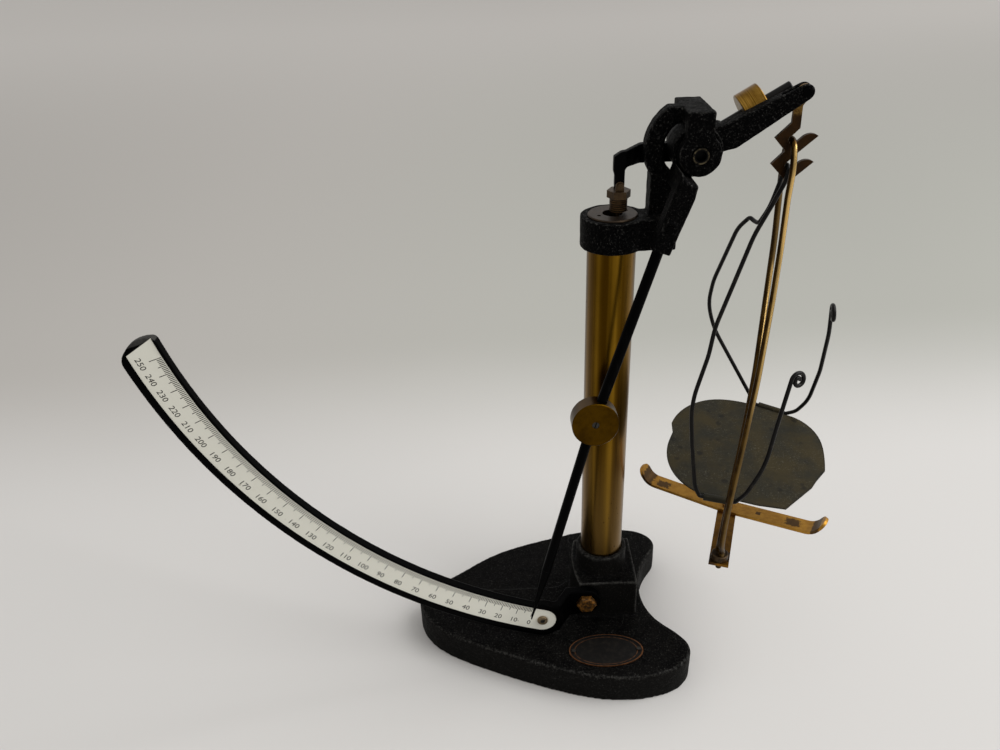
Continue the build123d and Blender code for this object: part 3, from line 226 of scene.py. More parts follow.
def makeRoom(spec):
    sky = Finish("studio", bpy.data.worlds)
    bpy.context.scene.world = sky.owner
    backdrop = sky.tree.nodes["Background"]
    way = sky.add("ShaderNodeTexCoord", output="Generated")
    height = sky.add("ShaderNodeSeparateXYZ", None, {0: way}, "Z")
    depth = sky.add("ShaderNodeSeparateXYZ", None, {0: way}, "Y")
    bright = sky.step(height + depth * spec["rearLift"], *spec["lowToHigh"])
    sky.feed(backdrop.inputs["Color"], spec["sky"])
    sky.feed(backdrop.inputs["Strength"], bright * (spec["high"] - spec["low"]) + spec["low"])


def makeLamp(spec):
    data = bpy.data.lights.new("softbox", "AREA")
    data.shape, data.size, data.energy = "SQUARE", spec["size"], spec["power"]
    lamp = bpy.data.objects.new("softbox", data)
    lamp.location = spec["place"]
    lamp.rotation_euler = (Vector(spec["place"]) - Vector(spec["aim"])).to_track_quat("Z", "Y").to_euler()
    bpy.context.scene.collection.objects.link(lamp)


makeFloor(floorPaper)
makeRoom(room)
makeLamp(softbox)
bpy.context.scene.view_settings.view_transform = "Standard"
print("studio set")


# Finishes. A noise is given by its size, detail and roughness, patches also by where they start and are full.
# rough is the least roughness and what the noise adds, relief its depth, strength and rounded corner
def centreOf(node):
    low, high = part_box(node)
    return (low + high) / 2


# worn colours the ridges, as wear together with painted glint
enamel = {"paint": (0.0007, 0.0007, 0.0008), "dust": (0.0095, 0.009, 0.008), "bare": (0.020, 0.0185, 0.0165),
          "worn": (0.060, 0.058, 0.053), "speckle": (0.085, 0.082, 0.075), "gloss": 0.02}
brass = {"bright": (0.24, 0.128, 0.010), "brown": (0.052, 0.0235, 0.0006), "dark": (0.022, 0.012, 0.003)}

# Stove enamel on a sand casting: lumpy, dust on top, painted light on upright sides, worn ridges with painted
# glint, painted glint speckles
cast = {"fine": (0.45, 3), "wear": (2.2, 6, 0.85), "wearShift": 0.16, "wearSoft": 0.05, "wearShown": 0.6,
        "dust": (9, 6, 0.7, 0.3, 0.7), "dustUp": (0.2, 1.0), "sideUp": (0.15, 0.6),
        "speckle": (1.1, 6, 0.9), "speckleUp": 0.015, "speckleFrom": (0.55, 0.69), "rough": (0.38, 0.25),
        "dustRough": 0.2, "coatRough": 0.2, "speckleCoat": 0.5, "wearCoat": 0.1, "lumpShare": 0.75}
# specks is how strongly the painted glint speckles show
headCast = {"name": "castEnamel", "lumps": (1.8, 5, 0.65), "dusty": 0.08, "specks": 0.8, "sides": 0.0,
            "wearFrom": 0.605, "relief": (0.45, 1.0, 0.6)}
# sides is how strongly upright faces take painted light
baseCast = {"name": "baseEnamel", "lumps": (2.6, 5, 0.65), "dusty": 0.36, "specks": 0.45, "sides": 0.42,
            "wearFrom": 0.592, "relief": (0.40, 1.0, 0.6)}


def castEnamel(spec):
    f = Finish(spec["name"])
    up = f.facing()
    lumps, fine = f.noise(*spec["lumps"]), f.noise(*cast["fine"])
    # ridges take the worn colour: partly wear, partly a painted glint along the edges
    ridge = f.ridges() + f.noise(*cast["wear"]) * cast["wearShift"]
    wear = f.step(ridge, spec["wearFrom"], spec["wearFrom"] + cast["wearSoft"])
    dust = f.step(up, *cast["dustUp"]) * f.patches(*cast["dust"])
    # painted glint: light speckles, a little more on faces turned up, stand in for glints of light
    speckle = f.step(f.noise(*cast["speckle"]) + up * cast["speckleUp"], *cast["speckleFrom"])
    # painted light: upright sides lightened with the dust colour, not dust
    upright = 1 - f.step(up, *cast["sideUp"])
    colour = f.mix(dust * spec["dusty"], enamel["paint"], enamel["dust"])
    colour = f.mix(upright * spec["sides"], colour, enamel["dust"])
    colour = f.mix(wear * cast["wearShown"], colour, enamel["worn"])
    colour = f.mix(speckle * spec["specks"], colour, enamel["speckle"])
    f.surface(colour, lumps.span(*cast["rough"]) + dust * cast["dustRough"],
              Specular_IOR_Level=enamel["gloss"], Coat_Roughness=cast["coatRough"],
              Coat_Weight=speckle * cast["speckleCoat"] + wear * cast["wearCoat"])
    f.relief(lumps * cast["lumpShare"] + fine * (1 - cast["lumpShare"]), *spec["relief"])
    return f.owner


# Smooth enamel on bars and rods, scuffed along Z and rubbed at the edges
smooth = {"scuffs": (6, 7, 0.75, 0.56, 0.7, (1, 1, 0.25)), "scuffShown": 0.2,
          "edge": (0.35, 0.25, 0.7), "edgeShown": 0.4, "haze": (2.5, 4), "rough": (0.26, 0.2),
          "waves": (1.6, 4), "relief": (0.06, 0.6, 0.35)}
# Bare metal beyond the end of the strip: a slope in X and Z and where it starts, and the depth of the channel
bareEnd = {"slope": (-0.272, 0.962), "start": 289.8, "soft": 0.8, "floor": -36.2, "floorSoft": 0.3,
           "grain": (1.2, 5), "dark": (0.012, 0.012, 0.012), "pale": (0.075, 0.072, 0.067)}


def smoothEnamel(name, end=None):
    f = Finish(name)
    colour = f.mix(f.patches(*smooth["scuffs"]) * smooth["scuffShown"], enamel["paint"], enamel["dust"])
    colour = f.mix(f.wornEdges(*smooth["edge"]) * smooth["edgeShown"], colour, enamel["bare"])
    if end:
        along = f.axis("X") * end["slope"][0] + f.axis("Z") * end["slope"][1]
        beyond = f.step(along, end["start"], end["start"] + end["soft"])
        floorOnly = f.step(f.axis("Y"), end["floor"], end["floor"] + end["floorSoft"])
        colour = f.mix(beyond * floorOnly, colour, f.mix(f.noise(*end["grain"]), end["dark"], end["pale"]))
    f.surface(colour, f.noise(*smooth["haze"]).span(*smooth["rough"]), Specular_IOR_Level=enamel["gloss"])
    f.relief(f.noise(*smooth["waves"]), *smooth["relief"])
    return f.owner


# Column tube: lengthwise bands and streaks, brown bloom and, low down, dark specks on paler brass
tube = {"bands": (6.5, 3, 0.5, (1, 1, 0.006)), "streaks": (1.1, 5, 0.7, (1, 1, 0.02)),
        "bloom": (26, 5, 0.6, (1, 1, 0.45)), "bandShare": 0.8, "brightFrom": (0.36, 0.70),
        "streakShown": 0.30, "specks": 3.4, "speckNoise": (5, 2), "speckShift": 0.5,
        "speckSize": (0.27, 0.36), "speckShown": (0.15, 0.7), "low": (60, 170), "lowShown": 0.35,
        "lowColour": (0.20, 0.125, 0.040), "rough": (0.22, 0.14), "speckRough": 0.3,
        "relief": (0.012, 0.5, 0.3)}


def drawnBrass(name):
    f = Finish(name)
    bands, streaks, bloom = (f.noise(*tube[key]) for key in ("bands", "streaks", "bloom"))
    scattered = f.spots(tube["specks"]) + f.noise(*tube["speckNoise"]) * tube["speckShift"]
    specks = 1 - f.step(scattered, *tube["speckSize"])
    low = 1 - f.step(f.axis("Z"), *tube["low"])
    blend = bands * tube["bandShare"] + bloom * (1 - tube["bandShare"])
    colour = f.mix(f.step(blend, *tube["brightFrom"]), brass["brown"], brass["bright"])
    colour = f.mix(streaks * tube["streakShown"], colour, brass["brown"])
    colour = f.mix(low * tube["lowShown"], colour, tube["lowColour"])
    colour = f.mix(specks * low.span(*tube["speckShown"]), colour, brass["dark"])
    f.surface(colour, streaks.span(*tube["rough"]) + specks * tube["speckRough"], 1.0)
    f.relief(streaks, *tube["relief"])
    return f.owner


# Turned pieces: rings about an axis, turning lines round the rim, and painted shade on the face away from the
# axis
turned = {"ringPitch": 3.4, "ringDetail": 5, "turnPitch": 0.8, "turnDetail": 6, "turnFrom": (0.42, 0.58),
          "tarnish": (8, 5, 0.6, 0.35, 0.7), "rimLean": (0.3, 0.7), "endLean": (-0.9, -0.6),
          "rough": (0.22, 0.16), "relief": (0.05, 0.9, 0.35)}
# end is the colour of the painted shade on the face away from the axis
weight = {"name": "weightBrass", "axis": (0.021, -0.9975, 0.066), "light": (0.066, 0.032, 0.0012),
          "shade": (0.030, 0.014, 0.0007), "end": (0.03, 0.014, 0.0007), "streaks": 0.4}
nutLean = math.radians(30)
nut = {"name": "nutBrass", "axis": (math.cos(nutLean), 0, math.sin(nutLean)), "light": (0.66, 0.38, 0.075),
       "shade": (0.30, 0.155, 0.026), "end": (0.17, 0.105, 0.035), "streaks": 0.9}


def turnedBrass(node, spec):
    f = Finish(spec["name"])
    shift, lean = f.shifted(centreOf(node)), f.lean(spec["axis"])
    away = f.vector("LENGTH", f.vector("CROSS_PRODUCT", shift, spec["axis"]), output="Value")
    length = f.vector("DOT_PRODUCT", shift, spec["axis"], "Value")
    rings = f.lines(away * turned["ringPitch"], turned["ringDetail"])
    turns = f.step(f.lines(length * turned["turnPitch"], turned["turnDetail"]), *turned["turnFrom"])
    rim = 1 - f.step(lean, *turned["rimLean"])
    colour = f.mix(f.patches(*turned["tarnish"]), spec["light"], spec["shade"])
    colour = f.mix(rings * spec["streaks"], colour, brass["brown"])
    colour = f.mix(turns * rim * spec["streaks"], colour, brass["brown"])
    # painted shade: the face turned away from the axis darkened to the end colour
    colour = f.mix(f.step(lean, *turned["endLean"]), spec["end"], colour)
    f.surface(colour, rings.span(*turned["rough"]), 1.0)
    f.relief(rings, *turned["relief"])
    return f.owner


# Bow: brown, with a gold line along faces turned to the front as painted highlight, full on the upper front
# leg
bow = {"tarnish": (9, 6, 0.7, 0.40, 0.66), "brown": (0.060, 0.031, 0.006), "dark": (0.022, 0.011, 0.003),
       "gold": (0.68, 0.45, 0.16), "ridgeWay": (0.25, -0.97, 0), "ridge": (0.72, 0.97), "ridgeShown": 0.14,
       "wornNoise": (30, 3), "wornShift": 60, "wornFrom": (200, 250), "frontTo": (-4, 0), "haze": (1.2, 4),
       "rough": (0.42, 0.12), "wornSheen": 0.2, "metal": (0.75, 0.25), "gloss": 0.1}


def rodBrass(name):
    f = Finish(name)
    # painted highlight: gold on faces turned to the front, faint everywhere and full on the upper front leg,
    # which is also smoother and more metallic
    ridge = f.step(f.lean(bow["ridgeWay"]), *bow["ridge"])
    high = f.step(f.axis("Z") + f.noise(*bow["wornNoise"]) * bow["wornShift"], *bow["wornFrom"])
    worn = high * (1 - f.step(f.axis("Y"), *bow["frontTo"]))
    dull = f.mix(f.patches(*bow["tarnish"]), bow["brown"], bow["dark"])
    colour = f.mix(worn * ridge + ridge * bow["ridgeShown"], dull, bow["gold"])
    f.surface(colour, f.noise(*bow["haze"]).span(*bow["rough"]) - worn * bow["wornSheen"],
              worn.span(*bow["metal"]), Specular_IOR_Level=bow["gloss"])
    return f.owner


# Small pieces gone brown; pitch is that of a thread along Z, in millimetres
bronzes = {
    "dark": {"name": "darkBronze", "wear": 0.6,
             "light": (0.072, 0.044, 0.020), "shade": (0.024, 0.0145, 0.0075)},
    "cap": {"name": "capBronze", "wear": 0.25,
            "light": (0.040, 0.026, 0.015), "shade": (0.022, 0.015, 0.0095)},
    "bush": {"name": "bushBronze", "wear": 0.6, "pitch": 1.1,
             "light": (0.090, 0.050, 0.018), "shade": (0.040, 0.022, 0.009)},
}
brown = {"tarnish": (3.5, 6, 0.7, 0.35, 0.7), "edge": (0.3, 0.2, 0.7), "edgeLift": 3, "haze": (1, 4),
         "rough": (0.36, 0.18), "metal": 0.85, "waves": (0.8, 4), "relief": (0.02, 0.6),
         "grooves": (-0.1, 0.6), "grooveShade": 0.15}


def brownSkin(f, colour):  # sheen and small unevenness of a brown piece
    f.surface(colour, f.noise(*brown["haze"]).span(*brown["rough"]), brown["metal"])
    f.relief(f.noise(*brown["waves"]), *brown["relief"])
    return f.owner


def bronze(spec):
    f = Finish(spec["name"])
    colour = f.mix(f.patches(*brown["tarnish"]), spec["light"], spec["shade"])
    if "pitch" in spec:
        height = f.axis("Z") * (2 * math.pi / spec["pitch"])
        thread = f.add("ShaderNodeMath", {"operation": "SINE"}, {0: height})
        groove = [brown["grooveShade"] * c for c in spec["shade"]]
        colour = f.mix(f.step(thread, *brown["grooves"]), colour, groove)
    rubbed = [brown["edgeLift"] * c for c in spec["light"]]
    return brownSkin(f, f.mix(f.wornEdges(*brown["edge"]) * spec["wear"], colour, rubbed))


# Hook plate: dark brown, its neck rubbed golden
hook = {"tarnish": (5, 6, 0.7, 0.35, 0.7), "light": (0.030, 0.0120, 0.0014), "shade": (0.014, 0.006, 0.0010),
        "neck": (327, 330), "neckNoise": (3, 4), "neckShift": 3, "neckPatches": (1.6, 5, 0.6, 0.4, 0.6),
        "neckGold": (0.20, 0.115, 0.025), "neckBrown": (0.09, 0.045, 0.008), "edgeGold": (0.24, 0.14, 0.04),
        "edgeShown": 0.4}


def hookBronze(name):
    f = Finish(name)
    body = f.mix(f.patches(*hook["tarnish"]), hook["light"], hook["shade"])
    gold = f.mix(f.patches(*hook["neckPatches"]), hook["neckGold"], hook["neckBrown"])
    neck = f.step(f.axis("Z") + f.noise(*hook["neckNoise"]) * hook["neckShift"], *hook["neck"])
    colour = f.mix(neck, body, gold)
    return brownSkin(f, f.mix(f.wornEdges(*brown["edge"]) * hook["edgeShown"], colour, hook["edgeGold"]))


# Flat strips; a stain is its place along and across, and half of its length and width, in millimetres
# the stem's one stain is a painted shadow of the crossbar across it
stem = {"name": "stemBrass", "along": (0, -1), "light": (0.23, 0.105, 0.010), "shade": (0.10, 0.044, 0.004),
        "stains": [(42.0, 64.0, 4.2, 20.0)]}
bar = {"name": "crossbarBrass", "along": (0.853, -0.522), "light": (0.42, 0.215, 0.030),
       "shade": (0.26, 0.12, 0.016),
       "stains": [(14.0, 43.8, 3.0, 9.0), (24.0, 42.5, 4.0, 3.0), (84.8, 43.8, 1.4, 1.6),
                  (105.5, 43.8, 4.2, 3.4), (119.0, 43.8, 2.2, 9.0)]}
flat = {"grain": (0.9, 5, 0.7, (0.08, 1, 1)), "tarnish": (5, 6, 0.7, 0.35, 0.75),
        "flecks": (2.2, 7, 0.75, 0.62, 0.70), "stain": (0.030, 0.017, 0.010), "stainShown": 0.85,
        "stainNoise": (1.8, 6, 0.75), "stainShift": 1.9, "stainEdge": (1.75, 2.15), "rough": (0.32, 0.2),
        "metal": 0.9, "relief": (0.02, 0.5, 0.3)}


def stripBrass(spec):
    f = Finish(spec["name"])
    alongX, alongY = spec["along"]
    run = f.axis("X") * alongX + f.axis("Y") * alongY
    across = f.axis("Y") * alongX - f.axis("X") * alongY
    grain, stain = f.noise(*flat["grain"]), f.patches(*flat["flecks"])
    colour = f.mix(f.patches(*flat["tarnish"]), spec["light"], spec["shade"])
    # each stain darkens the strip; on the stem this is painted shadow
    for centre, middle, half, wide in spec["stains"]:
        apart, aside = abs(run - centre) * (1 / half), abs(across - middle) * (1 / wide)
        reach = f.add("ShaderNodeMath", {"operation": "MAXIMUM"}, {0: apart, 1: aside})
        uneven = reach + f.noise(*flat["stainNoise"]) * flat["stainShift"]
        stain = stain + (1 - f.step(uneven, *flat["stainEdge"]))
    colour = f.mix(f.step(stain, 0, 1) * flat["stainShown"], colour, flat["stain"])
    f.surface(colour, grain.span(*flat["rough"]), flat["metal"])
    f.relief(grain, *flat["relief"])
    return f.owner


# Pan: dark bloomed sheet, blotched, scratched and gritty, with painted shade for dents, darker at the rim
pan = {"cloud": (22, 6, 0.62, 0.35, 0.68), "green": (0.019, 0.0175, 0.0115), "brown": (0.034, 0.026, 0.0105),
       "blotch": (5, 7, 0.7), "blotchFrom": (0.52, 0.75), "blotchShown": 0.6,
       "blotchColour": (0.009, 0.0085, 0.0075), "scratches": (1.2, 5, 0.75, 0.6, 0.68, (0.12, 1, 1)),
       "scratchShown": 0.35, "scratchColour": (0.075, 0.065, 0.038), "grit": (1.1, 5, 0.85, 0.55, 0.66),
       "gritOn": (16, 4, 0.6, 0.36, 0.60), "gritShown": 0.4, "gritColour": (0.17, 0.16, 0.12), "rim": 2.5,
       "rimColour": (0.004, 0.004, 0.0035), "dents": 11, "dentNoise": (3, 5, 0.7), "dentShift": 0.35,
       "dentSize": (0.26, 0.40), "dentShown": 0.65, "dentColour": (0.007, 0.0065, 0.0055),
       "rough": (0.40, 0.22), "metal": 0.3, "gloss": 0.12, "blotchShare": 0.7, "relief": (0.04, 0.6)}


def panSheet(name):
    f = Finish(name)
    blotch, scratches = f.noise(*pan["blotch"]), f.patches(*pan["scratches"])
    grit = f.patches(*pan["grit"]) * f.patches(*pan["gritOn"])
    # painted shade: dark round spots stand in for dents, which have no relief
    scattered = f.spots(pan["dents"]) + f.noise(*pan["dentNoise"]) * pan["dentShift"]
    dents = 1 - f.step(scattered, *pan["dentSize"])
    colour = f.mix(f.patches(*pan["cloud"]), pan["green"], pan["brown"])
    colour = f.mix(f.step(blotch, *pan["blotchFrom"]) * pan["blotchShown"], colour, pan["blotchColour"])
    colour = f.mix(scratches * pan["scratchShown"], colour, pan["scratchColour"])
    colour = f.mix(grit * pan["gritShown"], colour, pan["gritColour"])
    colour = f.mix(f.edges(pan["rim"]), colour, pan["rimColour"])
    colour = f.mix(dents * pan["dentShown"], colour, pan["dentColour"])
    f.surface(colour, blotch.span(*pan["rough"]), pan["metal"], Specular_IOR_Level=pan["gloss"])
    f.relief(blotch * pan["blotchShare"] + scratches * (1 - pan["blotchShare"]), *pan["relief"])
    return f.owner


wire = {"rub": (4, 6, 0.7, 0.5, 0.72), "black": (0.0035, 0.003, 0.0028), "rubbed": (0.016, 0.013, 0.010),
        "haze": (1.0, 4), "rough": (0.30, 0.2), "metal": 0.4, "gloss": 0.25, "waves": (0.7, 4),
        "relief": (0.02, 0.6)}


def blackWire(name):
    f = Finish(name)
    colour = f.mix(f.patches(*wire["rub"]), wire["black"], wire["rubbed"])
    f.surface(colour, f.noise(*wire["haze"]).span(*wire["rough"]), wire["metal"],
              Specular_IOR_Level=wire["gloss"])
    f.relief(f.noise(*wire["waves"]), *wire["relief"])
    return f.owner


frontView = (1, 0, 1)  # distances seen from the front count X and Z
steel = {"rust": (1.6, 6, 0.7, 0.5, 0.7), "bright": (0.028, 0.026, 0.022), "rusty": (0.012, 0.008, 0.005),
         "rim": (1.5, 2.0), "rimNoise": (1.2, 5, 0.7), "rimShift": 0.6, "rimGrain": (1.0, 5),
         "rimBrown": (0.10, 0.055, 0.020), "rimPale": (0.30, 0.24, 0.15), "rough": (0.38, 0.25),
         "metal": 0.6, "waves": (0.6, 4), "relief": (0.015, 0.5, 0.25)}


def darkSteel(name, rimmed=None):  # rimmed: the node whose rim is stained
    f = Finish(name)
    rust = f.patches(*steel["rust"])
    colour = f.mix(rust, steel["bright"], steel["rusty"])
    if rimmed:
        away = f.reach(centreOf(rimmed), frontView) + f.noise(*steel["rimNoise"]) * steel["rimShift"]
        stained = f.mix(f.noise(*steel["rimGrain"]), steel["rimBrown"], steel["rimPale"])
        colour = f.mix(f.step(away, *steel["rim"]), colour, stained)
    f.surface(colour, rust.span(*steel["rough"]), steel["metal"])
    f.relief(f.noise(*steel["waves"]), *steel["relief"])
    return f.owner


strip = {"cream": (0.80, 0.79, 0.70), "grimy": (0.64, 0.62, 0.50), "grime": (7, 7, 0.72, 0.55, 0.8),
         "grimeShown": 0.35, "specks": 9, "speckNoise": (3, 2), "speckShift": 0.4, "speckSize": (0.22, 0.25),
         "speckShown": 0.45, "edge": (0.4, 0.2, 0.8), "edgeShown": 0.5, "brown": (0.24, 0.20, 0.12),
         "stainNoise": (2.5, 6, 0.7), "stainShift": 3, "stainSize": (3.2, 6.0), "stainShown": 0.8,
         "stain": (0.42, 0.33, 0.17), "rough": (0.4, 0.2), "gloss": 0.3, "waves": (2, 4),
         "relief": (0.01, 0.4)}


def creamStrip(name):
    f = Finish(name)
    grime = f.patches(*strip["grime"])
    scattered = f.spots(strip["specks"]) + f.noise(*strip["speckNoise"]) * strip["speckShift"]
    specks = 1 - f.step(scattered, *strip["speckSize"])
    away = f.reach(centreOf("scale_screw"), frontView) + f.noise(*strip["stainNoise"]) * strip["stainShift"]
    stain = 1 - f.step(away, *strip["stainSize"])
    marks = specks * strip["speckShown"] + f.wornEdges(*strip["edge"]) * strip["edgeShown"]
    colour = f.mix(grime * strip["grimeShown"], strip["cream"], strip["grimy"])
    colour = f.mix(marks, colour, strip["brown"])
    colour = f.mix(stain * strip["stainShown"], colour, strip["stain"])
    f.surface(colour, grime.span(*strip["rough"]), Specular_IOR_Level=strip["gloss"])
    f.relief(f.noise(*strip["waves"]), *strip["relief"])
    return f.owner


inked = {"grain": (0.8, 4), "black": (0.006, 0.006, 0.006), "faded": (0.016, 0.015, 0.014), "rough": 0.6,
         "gloss": 0.1}


def ink(name):
    f = Finish(name)
    colour = f.mix(f.noise(*inked["grain"]), inked["black"], inked["faded"])
    f.surface(colour, inked["rough"], Specular_IOR_Level=inked["gloss"])
    return f.owner


# Oval plate: thin copper-coloured lines round a dark bare field, placed as shares of the way to the edge
oval = {"edgeLine": (0.96, 0.98), "lineFrom": (0.83, 0.84), "lineTo": (0.855, 0.865),
        "copper": (0.20, 0.085, 0.035), "kept": (2.2, 6, 0.7, 0.3, 0.62), "edgeShown": (0.35, 0.65),
        "lineShown": 0.6, "field": (3, 6, 0.7, 0.45, 0.7), "dark": (0.0035, 0.0032, 0.003),
        "pale": (0.012, 0.010, 0.008), "haze": (1.5, 4), "rough": (0.4, 0.15), "edgeMetal": 0.9,
        "lineMetal": 0.5, "gloss": 0.15, "waves": (1.2, 4), "relief": (0.015, 0.4)}


def ovalField(name, node):
    f = Finish(name)
    low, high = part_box(node)
    halves, middle = (high - low) / 2, (low + high) / 2
    share = f.vector("MULTIPLY", f.shifted((middle[0], middle[1], 0)), (mm / halves[0], mm / halves[1], 0))
    reach = f.vector("LENGTH", share, output="Value")
    outer = f.step(reach, *oval["edgeLine"])
    inner = f.step(reach, *oval["lineFrom"]) * (1 - f.step(reach, *oval["lineTo"]))
    kept = f.patches(*oval["kept"])
    lines = outer * kept.span(*oval["edgeShown"]) + inner * oval["lineShown"] * kept
    colour = f.mix(lines, f.mix(f.patches(*oval["field"]), oval["dark"], oval["pale"]), oval["copper"])
    f.surface(colour, f.noise(*oval["haze"]).span(*oval["rough"]),
              outer * oval["edgeMetal"] + inner * oval["lineMetal"], Specular_IOR_Level=oval["gloss"])
    f.relief(f.noise(*oval["waves"]), *oval["relief"])
    return f.owner


bolt = {"tarnish": (1.9, 6, 0.7, 0.36, 0.60), "brass": (0.25, 0.105, 0.015), "brown": (0.035, 0.018, 0.006),
        "haze": (1, 4), "rough": (0.4, 0.2), "metal": 0.75, "waves": (1.4, 5), "relief": (0.06, 0.8, 0.5)}


def wornBolt(name):
    f = Finish(name)
    colour = f.mix(f.patches(*bolt["tarnish"]), bolt["brass"], bolt["brown"])
    f.surface(colour, f.noise(*bolt["haze"]).span(*bolt["rough"]), bolt["metal"])
    f.relief(f.noise(*bolt["waves"]), *bolt["relief"])
    return f.owner


# Bearing screws: black heads whose rims are worn to a pale brass ring
ringed = {"from": (3.1, 3.3), "to": (3.8, 4.0), "worn": (2.0, 5, 0.7, 0.35, 0.65), "wornShown": 0.75,
          "ring": (0.13, 0.105, 0.06), "rough": 0.42, "metal": 0.6, "gloss": 0.06, "waves": (0.8, 4),
          "relief": (0.03, 0.6)}


def ringedScrew(name, node):
    f = Finish(name)
    reach = f.reach(centreOf(node), frontView)
    worn = f.step(reach, *ringed["from"]) * (1 - f.step(reach, *ringed["to"])) * f.patches(*ringed["worn"])
    colour = f.mix(worn * ringed["wornShown"], enamel["paint"], ringed["ring"])
    f.surface(colour, ringed["rough"], worn * ringed["metal"], Specular_IOR_Level=ringed["gloss"])
    f.relief(f.noise(*ringed["waves"]), *ringed["relief"])
    return f.owner


castMaterial = castEnamel(headCast)
rodMaterial = smoothEnamel("rodEnamel")
steelMaterial = darkSteel("darkSteel")
darkBronze = bronze(bronzes["dark"])
stemMaterial = stripBrass(stem)
finishes = {
    "base_casting": castEnamel(baseCast), "column_tube": drawnBrass("drawnBrass"), "column_plug": darkBronze,
    "head_bracket": castMaterial, "dashpot_cap": bronze(bronzes["cap"]), "beam_casting": castMaterial,
    "quadrant_arm": smoothEnamel("quadrantEnamel", bareEnd), "quadrant_bolt": wornBolt("boltBrass"),
    "scale_strip": creamStrip("creamStrip"), "scale_screw": darkSteel("scaleScrewSteel", "scale_screw"),
    "oval_plate": ovalField("ovalPlate", "oval_plate"), "plate_pins": steelMaterial,
    "front_bearing_screw": ringedScrew("frontBearing", "front_bearing_screw"),
    "rear_bearing_screw": ringedScrew("rearBearing", "rear_bearing_screw"), "beam_spindle": steelMaterial,
    "pointer_clamp_screw": rodMaterial, "pointer_rod": rodMaterial, "pointer_tip": rodMaterial,
    "pointer_weight": turnedBrass("pointer_weight", weight), "weight_grub_screw": steelMaterial,
    "adjusting_screw": blackWire("screwBlack"), "balance_nut": turnedBrass("balance_nut", nut),
    "damper_arm": smoothEnamel("armEnamel"), "damper_clevis": darkBronze, "damper_pin": darkBronze,
    "damper_bush": bronze(bronzes["bush"]), "damper_rod": darkBronze, "damper_piston": darkBronze,
    "piston_nut": darkBronze, "hook_pin": rodMaterial, "hook_plate": hookBronze("hookBrass"),
    "stirrup_bow": rodBrass("bowBrass"), "bow_socket": darkBronze, "stirrup_stem": stemMaterial,
    "stirrup_crossbar": stripBrass(bar), "stirrup_rivet": stemMaterial, "stirrup_nut": darkBronze,
    "pan_dish": panSheet("panSheet"), "pan_hanger": blackWire("hangerWire"),
}
for name, node in nodes.items():
    node.data.materials.clear()
    node.data.materials.append(finishes[name])
print("finishes on", len(nodes), "nodes")


def makePiece(name, data, body, material):
    piece = bpy.data.objects.new(name, data)
    bpy.context.scene.collection.objects.link(piece)
    data.materials.clear()
    data.materials.append(material)
    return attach(piece, body)


pivot = (38.3, 313.0)  # the beam's spindle in the front view, X and Z in millimetres


def aroundPivot(radius, angle):  # angle left of straight down, in degrees
    a = math.radians(angle)
    return (pivot[0] - radius * math.sin(a), pivot[1] - radius * math.cos(a))


# Sand castings: the machined forms with their corners run round and their skin a little uneven.
# Voxel, lump and its size are in millimetres. A rounded corner is its centre, its radius and, in degrees,
# the way out from the centre and half of its turn
castings = {
    "head_bracket": {"body": "root", "voxel": 0.45, "rounds": 9, "lump": 0.16, "size": 3.5},
    "beam_casting": {"body": "beam", "voxel": 0.40, "rounds": 8, "lump": 0.12, "size": 3.5},
    "base_casting": {"body": "root", "voxel": 0.85, "rounds": 5, "lump": 0.16, "size": 6.0},
    "quadrant_arm": {"body": "root", "voxel": 0.48, "rounds": 5, "lump": 0.05, "size": 6.0,
                     "rounded": [(aroundPivot(293.2, 72.26), 9.0, 178, 20),
                                 (aroundPivot(284.4, 73.71), 5.0, 49, 34)]},
    "damper_arm": {"body": "beam", "voxel": 0.35, "rounds": 10, "lump": 0.05, "size": 3.0},
}
cornerReach = 3  # what lies up to this far past a rounded corner is drawn in
softening = 0.5


def roundCorners(data, rounded):
    for centre, radius, way, half in rounded:
        out = Vector((math.cos(math.radians(way)), math.sin(math.radians(way))))
        least = math.cos(math.radians(half))
        for vertex in data.vertices:
            apart = Vector((vertex.co.x / mm - centre[0], vertex.co.z / mm - centre[1]))
            if radius < apart.length < radius + cornerReach and apart.dot(out) > least * apart.length:
                apart *= radius / apart.length
                vertex.co.x, vertex.co.z = (centre[0] + apart.x) * mm, (centre[1] + apart.y) * mm


def makeCasting(name, spec, material):
    rough = bpy.data.objects.new("rough", nodes[name].data.copy())
    bpy.context.scene.collection.objects.link(rough)
    skin = rough.modifiers.new("skin", "REMESH")
    skin.mode, skin.voxel_size = "VOXEL", spec["voxel"] * mm
    soften = rough.modifiers.new("soften", "SMOOTH")
    soften.factor, soften.iterations = softening, spec["rounds"]
    bpy.context.view_layer.update()
    data = bpy.data.meshes.new_from_object(rough.evaluated_get(bpy.context.evaluated_depsgraph_get()))
    bpy.data.objects.remove(rough)
    roundCorners(data, spec.get("rounded", []))
    normals = [vertex.normal.copy() for vertex in data.vertices]
    for vertex, normal in zip(data.vertices, normals):
        vertex.co += normal * noise.noise(vertex.co / (spec["size"] * mm)) * spec["lump"] * mm
        vertex.co.z = max(vertex.co.z, 0)  # nothing reaches below the table
    data.polygons.foreach_set("use_smooth", [True] * len(data.polygons))
    title = name.replace("_", " ").title().replace(" ", "") + "Skin"
    piece = makePiece(title, data, spec["body"], material)
    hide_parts(name)
    print(name, "skin of", len(data.polygons), "faces")


for name, spec in castings.items():
    makeCasting(name, spec, finishes[name])

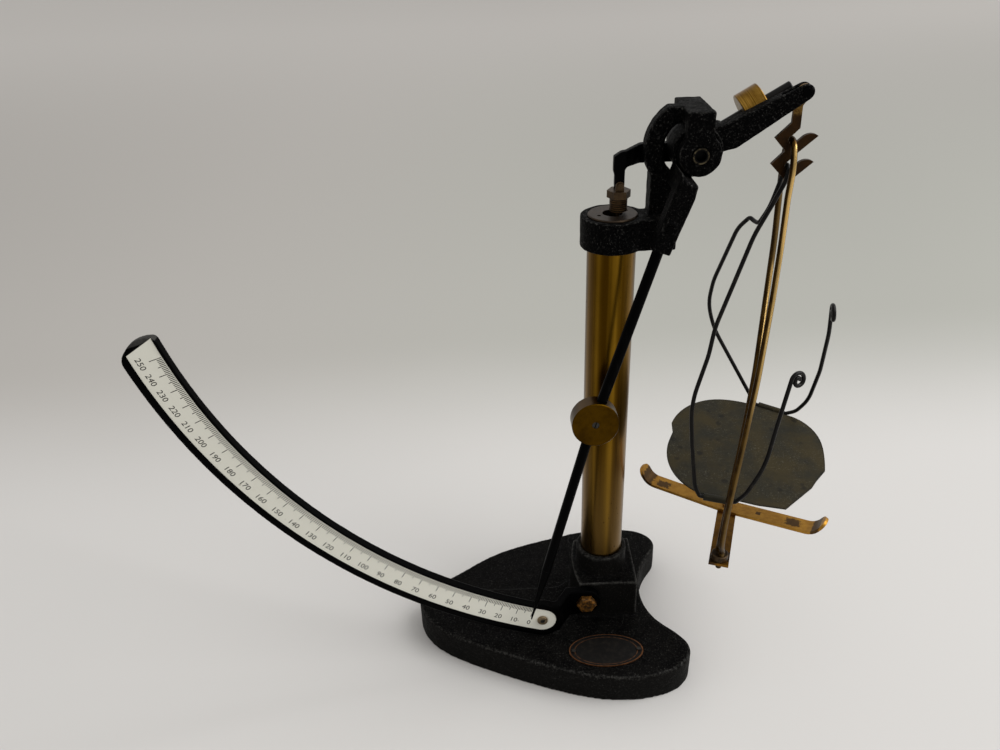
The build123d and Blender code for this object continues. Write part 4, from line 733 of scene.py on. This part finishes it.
# Graduation: the scale reads grams by the beam's law, tan(turn) = m cos(a) / (k - m sin(a)).
# Lengths are in millimetres, angles in degrees; marks stand on the strip's face and sink in it a little
scale = {"face": -36.0, "zeroAngle": 17.14, "armAngle": 28.0, "moment": 271.8, "top": 250, "halfway": 5,
         "numbered": 10, "inner": 281.6, "short": 3.1, "middle": 4.7, "long": 7.0, "thin": 0.38,
         "lift": 0.04, "sink": 0.02, "numberRadius": 293.6, "numberHeight": 3.3, "digitShare": 0.69,
         "curveSteps": 3}


def scaleAngle(grams):  # left of straight down
    arm = math.radians(scale["armAngle"])
    turn = math.atan2(grams * math.cos(arm), scale["moment"] - grams * math.sin(arm))
    return scale["zeroAngle"] + math.degrees(turn)


def onScale(radius, angle, out):  # out is the distance in front of the strip
    x, z = aroundPivot(radius, angle)
    return Vector((x, scale["face"] - out, z)) * mm


def makeTicks(material):
    half = math.degrees(scale["thin"] / 2 / scale["inner"])
    sides = ((4, 7, 6, 5), (0, 4, 5, 1), (1, 5, 6, 2), (2, 6, 7, 3), (3, 7, 4, 0), (0, 1, 2, 3))
    points, faces = [], []
    for grams in range(scale["top"] + 1):
        length = scale["short"]
        if grams % scale["halfway"] == 0:
            length = scale["middle"]
        if grams % scale["numbered"] == 0:
            length = scale["long"]
        first, angle = len(points), scaleAngle(grams)
        for out in (-scale["sink"], scale["lift"]):
            for beyond, side in ((0, -1), (0, 1), (length, 1), (length, -1)):
                points.append(onScale(scale["inner"] + beyond, angle + side * half, out))
        faces += [[first + k for k in quad] for quad in sides]
    data = bpy.data.meshes.new("scaleTicks")
    data.from_pydata(points, [], faces)
    makePiece("scaleTicks", data, "root", material)


def makeNumber(grams):
    curve = bpy.data.curves.new("number", "FONT")
    curve.body = str(grams)
    curve.align_x, curve.align_y = "CENTER", "CENTER"
    curve.size = scale["numberHeight"] * mm / scale["digitShare"]
    curve.extrude, curve.resolution_u = scale["lift"] * mm, scale["curveSteps"]
    text = bpy.data.objects.new("number", curve)
    bpy.context.scene.collection.objects.link(text)
    angle = scaleAngle(grams)
    upright = Matrix.Rotation(math.radians(90), 4, "X")
    turn = Matrix.Rotation(-math.radians(angle), 4, "Z")
    text.matrix_world = Matrix.Translation(onScale(scale["numberRadius"], angle, 0)) @ upright @ turn
    return text


def makeNumbers(material):
    made = [makeNumber(grams) for grams in range(0, scale["top"] + 1, scale["numbered"])]
    bpy.context.view_layer.update()
    shapes = bpy.context.evaluated_depsgraph_get()
    points, faces = [], []
    for text in made:
        shape = bpy.data.meshes.new_from_object(text.evaluated_get(shapes))
        first = len(points)
        points += [text.matrix_world @ v.co for v in shape.vertices]
        faces += [[first + k for k in polygon.vertices] for polygon in shape.polygons]
        bpy.data.objects.remove(text)
    data = bpy.data.meshes.new("scaleNumbers")
    data.from_pydata(points, [], faces)
    makePiece("scaleNumbers", data, "root", material)


inkMaterial = ink("scaleInk")
makeTicks(inkMaterial)
makeNumbers(inkMaterial)
print("graduation drawn")
